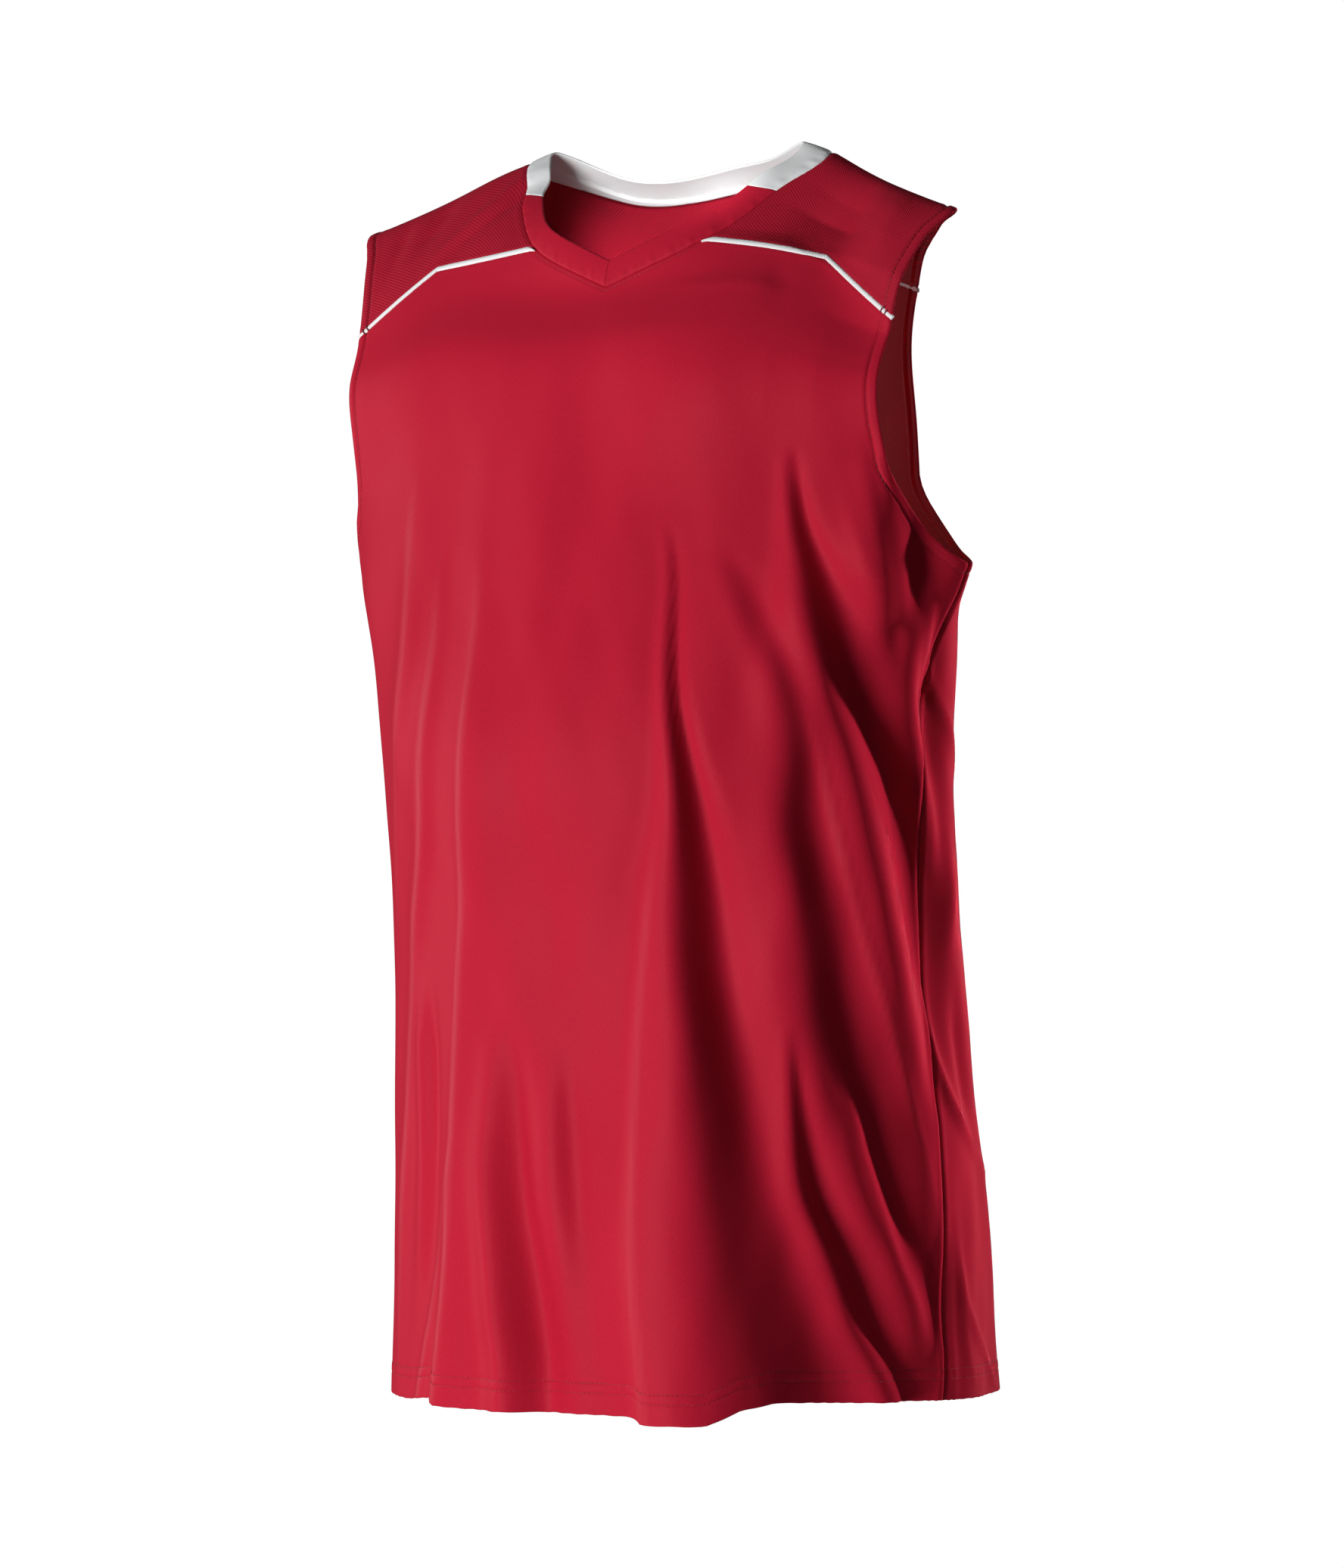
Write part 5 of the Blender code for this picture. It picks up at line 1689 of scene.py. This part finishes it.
@dataclass
class NeckBand:
    """The folded neck band: a red piece each side of the V and a white piece round the back."""

    thickness: float = 0.0017
    puff: float = 0.0007
    width: float = 0.0165
    joint_station: int = 4
    joint_skew: Pair = (0.010, 0.0155)
    joint_shift: Pair = (-0.0060, 0.0050)
    facing_under: float = 0.0011
    facing_columns: int = 7
    # length past the neck point, depth of the facing on the wearer's left and right
    facing: Rows = (
        (-0.016, 0.0010, 0.0010), (-0.004, 0.0018, 0.0050), (0.006, 0.0022, 0.0088),
        (0.034, 0.0024, 0.0088), (0.062, 0.0026, 0.0054), (0.110, 0.0026, 0.0026))
    gap: float = 0.00015
    across: int = 30
    front_steps: int = 190
    back_steps: int = 360
    # shares across the band and along its front pieces
    crowding: Pair = (0.5, 0.35)
    puff_power: float = 0.8
    seam_dip: Pair = (0.0004, 0.0011)
    ripple_height: float = 0.00016
    # pace, strength and pace of its wander; pace and share of the finer waves
    ripples: tuple[float, ...] = (520.0, 2.0, 47.0, 911.0, 0.6)
    ripples_at: Pair = (0.0022, 0.0030)
    rim_start: float = 0.0002
    fold_radius: float = 0.0010
    end_radius: float = 0.0007
    # parts of the half thickness, outside and inside, of the facing
    facing_sides: Pair = (0.3, 0.9)
    front_cut: tuple[Pair, float] = ((0.0175, 0.140), 0.0024)
    back_cut: tuple[Pair, float] = ((0.0175, 0.330), 0.0056)

    def cloth(self, point: Array, inward: Array, along: Array) -> Cloth:
        """Rounds a grid of band points into folded cloth.

        Args:
            point: Points with columns from the seam to the folded edge.
            inward: Shares across the band.
            along: Lengths along the band.

        Returns:
            The cloth grid.
        """
        normal = grid_normals(point)
        for end in (0, -1):
            if np.ptp(point[end, :, 0]) < 1e-6:
                normal[end, :, 0] = 0.0
        pace, wander, slow, fine, part = self.ripples
        ripples = self.ripple_height * (np.sin(along * pace + wander * np.sin(along * slow))
                                        + part * np.sin(along * fine + 1.0))
        width = self.width
        from_seam, from_fold = inward * width, (1.0 - inward) * width
        faced = float(inward.min()) < 0.0
        dip, reach = self.seam_dip
        relief = (self.puff * np.sin(math.pi * np.clip(inward, 0.0, 1.0)) ** self.puff_power
                  - dip * bell(from_seam, 0.0, reach) + ripples * bell(from_seam, *self.ripples_at))
        if faced:
            relief[inward < 0.0] = 0.0
            from_seam = from_seam - from_seam[:, :1]
        point = point + normal * relief[..., None]
        ends = np.minimum(along - along[:1], along[-1:] - along)
        share = rim_share(np.minimum(from_fold, from_seam + self.rim_start), self.fold_radius)
        share = np.minimum(share, rim_share(np.abs(ends) + self.rim_start, self.end_radius))
        half = 0.5 * self.thickness * share
        above, below = self.facing_sides
        outer = np.where(inward < 0.0, -self.facing_under - above * half, half)
        inner = np.where(inward < 0.0, self.facing_under + below * half, half)
        uv = np.stack((along, inward * width), -1)
        return Cloth(point, normal, uv, outer, inner)

    def build(self, maker: Maker) -> list[Object]:
        """Makes the three pieces.

        Args:
            maker: Shared form.

        Returns:
            The dressed pieces.
        """
        form, made, back = maker.form, [], []
        inward = eased(self.across + 1, self.crowding[0])[None, :]
        seam, top = form.curves["neck_rows"][self.joint_station:self.joint_station + 2, 0]
        facing = np.array(self.facing)
        under = np.linspace(1.0, 0.0, self.facing_columns, endpoint=False)[None, :]
        share = eased(self.front_steps, self.crowding[1])[:, None]
        for side, (name, hand) in enumerate(HANDS):
            joint = seam + self.joint_shift[side] - self.joint_skew[side] * inward
            along = share * (joint - self.gap)
            whole = np.broadcast_to(inward, along.shape)
            front = form.band_point(along, whole, hand)
            front[0, :, 0] = self.gap * hand
            order = -int(hand)
            cloth = self.cloth(front[::order], whole[::order], along[::order])
            piece = cloth.shell(f"collar_front_{name}_band", maker.satin)
            made.append(maker.dress(piece, "red_satin_knit", f"collar_front_{name}",
                                    *self.front_cut, Hold.FOLDED, ["front_panel"]))
            t = np.linspace(0.0, 1.0, self.back_steps // 2)[:, None]
            along = joint + self.gap + t * (form.neck_length - joint - self.gap)
            deep = np.interp(along[:, :1] - top, facing[:, 0], facing[:, 1 + side]) * under
            start = np.broadcast_to(along[:, :1], deep.shape)
            whole = np.broadcast_to(inward, along.shape)
            below = form.facing_point(start, deep, hand)
            band = form.band_point(along, whole, hand)
            back.append((np.concatenate((below, band), 1),
                         np.concatenate((-deep / self.width, whole), 1),
                         np.concatenate((start, along), 1)))
        point = np.concatenate((back[0][0], back[1][0][-2::-1]))
        inward = np.concatenate((back[0][1], back[1][1][-2::-1]))
        along = np.concatenate((back[0][2], 2.0 * form.neck_length - back[1][2][-2::-1]))
        cloth = self.cloth(point[::-1], inward[::-1], along[::-1])
        piece = cloth.shell("collar_back_band", maker.white)
        made.append(maker.dress(piece, "white_knit", "collar_back", *self.back_cut, Hold.FOLDED,
                                ["yoke"]))
        return made


# ---- stitching ----
@dataclass
class StitchTree:
    """Geometry nodes that set stitches along lines with an outward direction."""

    name: str = "stitch_rows"
    seed: int = 4
    sizes: Pair = (0.86, 1.08)

    def build(self) -> bpy.types.NodeTree:
        """Builds the node group with named inputs for the stitch sizes.

        Returns:
            The node group.
        """
        tree = bpy.data.node_groups.new(self.name, "GeometryNodeTree")
        face = tree.interface
        face.new_socket("Geometry", in_out="INPUT", socket_type="NodeSocketGeometry")
        for name in ("Pitch", "Stitch Length", "Thread Width"):
            face.new_socket(name, in_out="INPUT", socket_type="NodeSocketFloat")
        face.new_socket("Thread", in_out="INPUT", socket_type="NodeSocketMaterial")
        face.new_socket("Geometry", in_out="OUTPUT", socket_type="NodeSocketGeometry")

        add = Tree(tree).add
        given = add("NodeGroupInput").outputs
        curve = add("GeometryNodeMeshToCurve", {0: given["Geometry"]})
        spaced = add("GeometryNodeResampleCurve", {"Curve": curve.outputs[0],
                                                   "Length": given["Pitch"]}, mode="LENGTH")
        ball = add("GeometryNodeMeshUVSphere", {"Segments": 6, "Rings": 4, "Radius": 0.5})
        size = add("ShaderNodeCombineXYZ", {0: given["Stitch Length"], 1: given["Thread Width"],
                                            2: given["Thread Width"]})
        shaped = add("GeometryNodeTransform", {"Geometry": ball.outputs["Mesh"],
                                               "Scale": size.outputs[0]})
        rounded = add("GeometryNodeSetShadeSmooth", {"Geometry": shaped.outputs[0]})
        outward = add("GeometryNodeInputNamedAttribute", {"Name": "outward"},
                      data_type="FLOAT_VECTOR")
        along = add("FunctionNodeAlignRotationToVector",
                    {"Vector": add("GeometryNodeInputTangent").outputs[0]}, axis="X")
        upright = add("FunctionNodeAlignRotationToVector",
                      {"Rotation": along.outputs[0], "Vector": outward.outputs["Attribute"]},
                      axis="Z", pivot_axis="X")
        low, high = self.sizes
        vary = add("FunctionNodeRandomValue", {2: low, 3: high, "Seed": self.seed},
                   data_type="FLOAT")
        placed = add("GeometryNodeInstanceOnPoints", {
            "Points": spaced.outputs[0], "Instance": rounded.outputs[0],
            "Rotation": upright.outputs[0], "Scale": vary.outputs[1]})
        real = add("GeometryNodeRealizeInstances", {0: placed.outputs[0]})
        painted = add("GeometryNodeSetMaterial", {"Geometry": real.outputs[0],
                                                  "Material": given["Thread"]})
        add("NodeGroupOutput", {0: painted.outputs[0]})
        return tree


@dataclass
class Stitching:
    """Needle rows of the hem, the armholes and the neckline, and the bar tacks."""

    pitch: float = 0.0031
    length: float = 0.0025
    thread: float = 0.00040
    height: float = 0.00042
    hem_clearance: float = 0.012
    hem_samples: int = 1200
    armhole_samples: int = 900
    neck_samples: int = 240
    neck_offset: float = 0.0024
    neck_sunk: float = 0.00012
    mitre_gap: float = 0.0006
    underarm_margin: float = 0.010
    # pitch, length and thickness of the stitches of a bar tack
    tack_sizes: Triple = (0.0009, 0.0013, 0.0011)
    tack_places: Pair = (0.0042, 0.0070)
    tack_points: int = 24
    tack_height: float = 0.0009
    tack_overhang: float = 0.0010

    def path(self, form: ClothForm, angle: Array, down: Array,
             lift: float | Array) -> tuple[Array, Array]:
        """Points and outward directions of a row.

        Args:
            form: The cloth form.
            angle: Angles of the row.
            down: Cloth lengths of the row.
            lift: Height above the middle of the cloth.

        Returns:
            The points and the directions.
        """
        outward = form.plain_normal(angle, down)
        return form.draped(angle, down) + outward * lift, outward

    def sew(self, maker: Maker, name: str, rows: Sequence[Places], slot: str,
            tree: bpy.types.NodeTree) -> Object:
        """Sets the stitches of several rows as one piece.

        Args:
            maker: Shared finishes.
            name: Name of the piece.
            rows: Points and outward directions of each row.
            slot: Name of a material slot, handed on to dress, which does not use it.
            tree: The node group that sets them.

        Returns:
            The dressed piece.
        """
        points, directions = (np.concatenate(part) for part in zip(*rows))
        ends = set(np.cumsum([len(row[0]) for row in rows]))
        edges = [(i - 1, i) for i in range(1, len(points)) if i not in ends]
        mesh = bpy.data.meshes.new(name + "_path")
        mesh.from_pydata(points.tolist(), edges, [])
        outward = mesh.attributes.new("outward", "FLOAT_VECTOR", "POINT")
        outward.data.foreach_set("vector", directions.astype(np.float32).ravel())
        guide = linked(name + "_path", mesh)
        modifier = guide.modifiers.new("stitches", "NODES")
        modifier.node_group = tree
        sizes = {"Pitch": self.pitch, "Stitch Length": self.length, "Thread Width": self.thread,
                 "Thread": maker.thread}
        for item in tree.interface.items_tree:
            if item.in_out == "INPUT" and item.name in sizes:
                modifier[item.identifier] = sizes[item.name]
        graph = bpy.context.evaluated_depsgraph_get()
        sewn = bpy.data.meshes.new_from_object(guide.evaluated_get(graph))
        bpy.data.objects.remove(guide, do_unlink=True)
        sewn.name = name
        if not sewn.materials:
            sewn.materials.append(maker.thread)
        return maker.dress(linked(name, sewn), slot)

    def build(self, maker: Maker) -> list[Object]:
        """Sews all rows.

        Args:
            maker: Shared form and finishes.

        Returns:
            The dressed pieces.
        """
        form, edge, tree = maker.form, maker.edge, StitchTree().build()
        made = []
        for side, slot in ((Side.FRONT, "red_satin_knit"), (Side.BACK, "red_mesh_knit")):
            end = QUARTER - self.hem_clearance
            angle = np.linspace(-end, end, self.hem_samples)
            hem = form.hem_down(angle, side)
            rows = [self.path(form, angle, hem - side.value * offset, self.height)
                    for offset in edge.hem_rows]
            made.append(self.sew(maker, f"hem_stitches_{side.name.lower()}", rows, slot, tree))
        under = float(form.down_at(form.underarm_level))
        arm, down = form.armhole_line(self.armhole_samples)
        for name, hand in HANDS:
            edge_line = form.draped(hand * arm, down)
            shift = self.offset_places(form, hand * arm, down, edge_line, edge.needle_row)
            keep = np.abs(shift[1]) < under + self.underarm_margin
            rows = [self.path(form, shift[0][keep], shift[1][keep], self.height)]
            made.append(self.sew(maker, f"armhole_stitches_{name}", rows, "red_satin_knit", tree))
        along = np.linspace(0.0, form.curves["neck_rows"][2, 0], self.neck_samples)
        rows = []
        for hand in (1.0, -1.0):
            row = form.neck(along)
            x, d = row[:, 1], row[:, 0]
            slope = np.gradient(d, along), np.gradient(x, along)
            x, d = x - self.neck_offset * slope[0], d + self.neck_offset * slope[1]
            keep = x > self.mitre_gap
            rows.append(self.path(form, hand * form.angle_at(x[keep], d[keep]), d[keep],
                                  self.height - self.neck_sunk))
        made.append(self.sew(maker, "neck_topstitches", rows, "red_satin_knit", tree))
        tacks = Stitching(*self.tack_sizes)
        made.append(tacks.sew(maker, "piping_bar_tacks", self.bar_tacks(form), "red_satin_knit",
                              tree))
        return made

    def bar_tacks(self, form: ClothForm) -> list[tuple[Array, Array]]:
        """Rows that cross the piping beside the armholes.

        Args:
            form: The cloth form.

        Returns:
            The points and the outward directions of each row.
        """
        rows, strip, step = [], Piping(), 0.001
        across = np.linspace(-0.5, 0.5, self.tack_points) * (strip.width + self.tack_overhang)
        height = self.tack_height + strip.proud * np.sqrt(
            np.maximum(1.0 - (2.0 * across / strip.width) ** 2, 0.0))
        for side in (Side.FRONT, Side.BACK):
            end = form.piping_ends(side, 0.0)[1]
            for inward in self.tack_places:
                x = end - inward + step * np.array([-1.0, 0.0, 1.0])
                down = form.piping_down(x, side)
                slope = (down[2] - down[0]) / (2.0 * step)
                size = math.hypot(1.0, slope)
                place_x, place_down = x[1] - across * slope / size, down[1] + across / size
                for hand in (1.0, -1.0):
                    angle = form.angle_at(hand * place_x, place_down)
                    rows.append(self.path(form, angle, place_down, height[:, None]))
        return rows

    @staticmethod
    def offset_places(form: ClothForm, angle: Array, down: Array, line: Array,
                      offset: float) -> Places:
        """Places at a real distance inside the armhole edge.

        Args:
            form: The cloth form.
            angle: Angles of the edge.
            down: Cloth lengths of the edge.
            line: Points of the edge.
            offset: Distance on the cloth.

        Returns:
            Angles and cloth lengths.
        """
        step = 1e-4
        by_angle, by_down = (move / (2 * step) for move in form.moves(angle, down, step))
        tangent = np.gradient(line, axis=0)
        tangent /= np.linalg.norm(tangent, axis=-1, keepdims=True)
        outward = form.plain_normal(angle, down)
        inward = np.cross(outward, tangent)
        inward *= -np.sign(np.sum(inward * by_angle, -1) * np.sign(angle)
                           - np.sum(inward * by_down, -1) * np.sign(down) * 1e-3)[:, None]
        aa, dd = np.sum(by_angle * by_angle, -1), np.sum(by_down * by_down, -1)
        ad = np.sum(by_angle * by_down, -1)
        pa, pd = np.sum(inward * by_angle, -1) * offset, np.sum(inward * by_down, -1) * offset
        det = np.maximum(aa * dd - ad * ad, 1e-12)
        return angle + (pa * dd - pd * ad) / det, down + (pd * aa - pa * ad) / det


# ---- studio ----
@dataclass(frozen=True)
class Lamp:
    """A soft light given by its direction round the camera; a spot has an opening in degrees."""

    name: str
    aside: float
    up: float
    distance: float
    size: Pair
    power: float
    colour: Triple = (1.0, 1.0, 1.0)
    spot: float = 0.0
    aim: Optional[Triple] = None
    mirrored: bool = True
    spread: float = 180.0


@dataclass(frozen=True)
class Studio:
    """Pale floor, white surroundings, soft lights and the camera."""

    azimuth: float = 35.0
    target: Triple = (-0.0015, -0.0011, -0.388)
    distance: float = 4.4
    lens: float = 162.7
    floor_z: float = -0.95
    floor_radius: float = 0.56
    floor_sides: int = 96
    # inwards from the floor's edge, and down from its top
    floor_rings: Rows = ((0.012, 0.0), (0.003, -0.002), (0.0, -0.010), (0.0, -0.030))
    ambient: float = 0.04
    lamps: tuple[Lamp, ...] = (
        Lamp("key_light", -47.0, -6.0, 2.8, (1.3, 1.6), 77.0),
        Lamp("left_light", -112.0, 4.0, 2.6, (0.8, 1.8), 18.0),
        Lamp("front_fill", 22.0, 14.0, 3.4, (1.6, 1.6), 2.4),
        Lamp("back_light", 142.0, 4.0, 2.4, (0.8, 1.8), 40.0, mirrored=False),
        Lamp("rim_light", 118.0, 2.0, 1.6, (0.08, 0.7), 0.50, aim=(0.200, 0.0, -0.42),
             mirrored=False, spread=12.0),
        Lamp("top_light", -20.0, 78.0, 2.2, (1.4, 1.4), 1.6),
        Lamp("neck_light_right", -5.0, 24.0, 1.8, (0.02, 0.02), 230.0, spot=2.6,
             aim=(-0.068, 0.045, -0.056)),
        Lamp("neck_light_left", -5.0, 24.0, 1.8, (0.02, 0.02), 230.0, spot=2.6,
             aim=(-0.010, 0.058, -0.060)),
    )

    def build(self) -> None:
        """Sets up the camera, world, floor and lights."""
        scene = bpy.context.scene
        scene.view_settings.view_transform = "Standard"
        target = Vector(self.target)
        camera_data = bpy.data.cameras.new("camera")
        camera_data.lens, camera_data.sensor_width = self.lens, 36.0
        camera = linked("camera", camera_data)
        camera.location = target + self.direction(0.0, 0.0) * self.distance
        camera.rotation_euler = (target - camera.location).to_track_quat("-Z", "Y").to_euler()
        scene.camera = camera
        for lamp in self.lamps:
            data = bpy.data.lights.new(lamp.name, "SPOT" if lamp.spot else "AREA")
            data.energy, data.color = lamp.power, lamp.colour
            if lamp.spot:
                data.spot_size, data.spot_blend = math.radians(lamp.spot), 0.8
                data.shadow_soft_size = lamp.size[0]
            else:
                data.shape, (data.size, data.size_y) = "RECTANGLE", lamp.size
                data.spread = math.radians(lamp.spread)
            light = linked(lamp.name, data)
            aim = Vector(lamp.aim or self.target)
            light.location = aim + self.direction(lamp.aside, lamp.up) * lamp.distance
            light.rotation_euler = (aim - light.location).to_track_quat("-Z", "Y").to_euler()
            light.visible_camera, light.visible_glossy = False, lamp.mirrored
        self.world()
        self.floor()

    def direction(self, aside: float, up: float) -> Vector:
        """Direction from the target, in degrees to the right of the camera and above it.

        Args:
            aside: Degrees to the right.
            up: Degrees upwards.

        Returns:
            The direction.
        """
        turn, rise = math.radians(self.azimuth + aside), math.radians(up)
        return Vector((math.sin(turn) * math.cos(rise), -math.cos(turn) * math.cos(rise),
                       math.sin(rise)))

    def world(self) -> None:
        """White surroundings that light the cloth only a little."""
        world = bpy.data.worlds.new("white_room")
        bpy.context.scene.world = world
        world.use_nodes = True
        tree, white = Tree(world.node_tree), (1, 1, 1, 1)
        shown = world.node_tree.nodes["Background"]
        tree.feed(shown.inputs[0], white)
        dim = tree.add("ShaderNodeBackground", {0: white, 1: self.ambient})
        seen = tree.add("ShaderNodeLightPath").outputs["Is Camera Ray"]
        mix = tree.add("ShaderNodeMixShader", {0: seen, 1: dim.outputs[0], 2: shown.outputs[0]})
        tree.feed(world.node_tree.nodes["World Output"].inputs[0], mix.outputs[0])

    def floor(self) -> None:
        """A round pale floor below the garment."""
        count = self.floor_sides
        turn = np.linspace(0.0, math.tau, count, endpoint=False)
        points, faces = [(0.0, 0.0, self.floor_z)], []
        for inward, drop in self.floor_rings:
            radius = self.floor_radius - inward
            points += [(radius * math.cos(t), radius * math.sin(t), self.floor_z + drop)
                       for t in turn]
        for i in range(count):
            j = (i + 1) % count
            faces.append((0, 1 + i, 1 + j))
            for ring in range(len(self.floor_rings) - 1):
                a, b = 1 + ring * count, 1 + (ring + 1) * count
                faces.append((a + i, b + i, b + j, a + j))
        last = 1 + (len(self.floor_rings) - 1) * count
        faces.append(tuple(last + i for i in reversed(range(count))))
        mesh = bpy.data.meshes.new("floor")
        mesh.from_pydata(points, [], faces)
        mesh.materials.append(PaleFloor().build())
        linked("floor", mesh)


def main() -> None:
    """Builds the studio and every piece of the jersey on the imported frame."""
    logging.basicConfig(level=logging.INFO, format="%(name)s: %(message)s")
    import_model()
    Studio().build()
    form = ClothForm()
    maker = Maker(form, SeamMap(form), EdgeWork(), SatinKnit().build(), MeshKnit().build(),
                  RibMesh().build(), WhiteKnit().build(), Thread().build())
    BodyPanel(Side.FRONT, (0.60, 0.72), 0.395, "red_satin_knit").build(maker, maker.satin)
    BodyPanel(Side.BACK, (0.56, 0.72), 0.360, "red_mesh_knit").build(maker, maker.mesh)
    Yoke().build(maker)
    Piping().build(maker)
    NeckBand().build(maker)
    Stitching().build(maker)


if __name__ == "__main__":
    main()
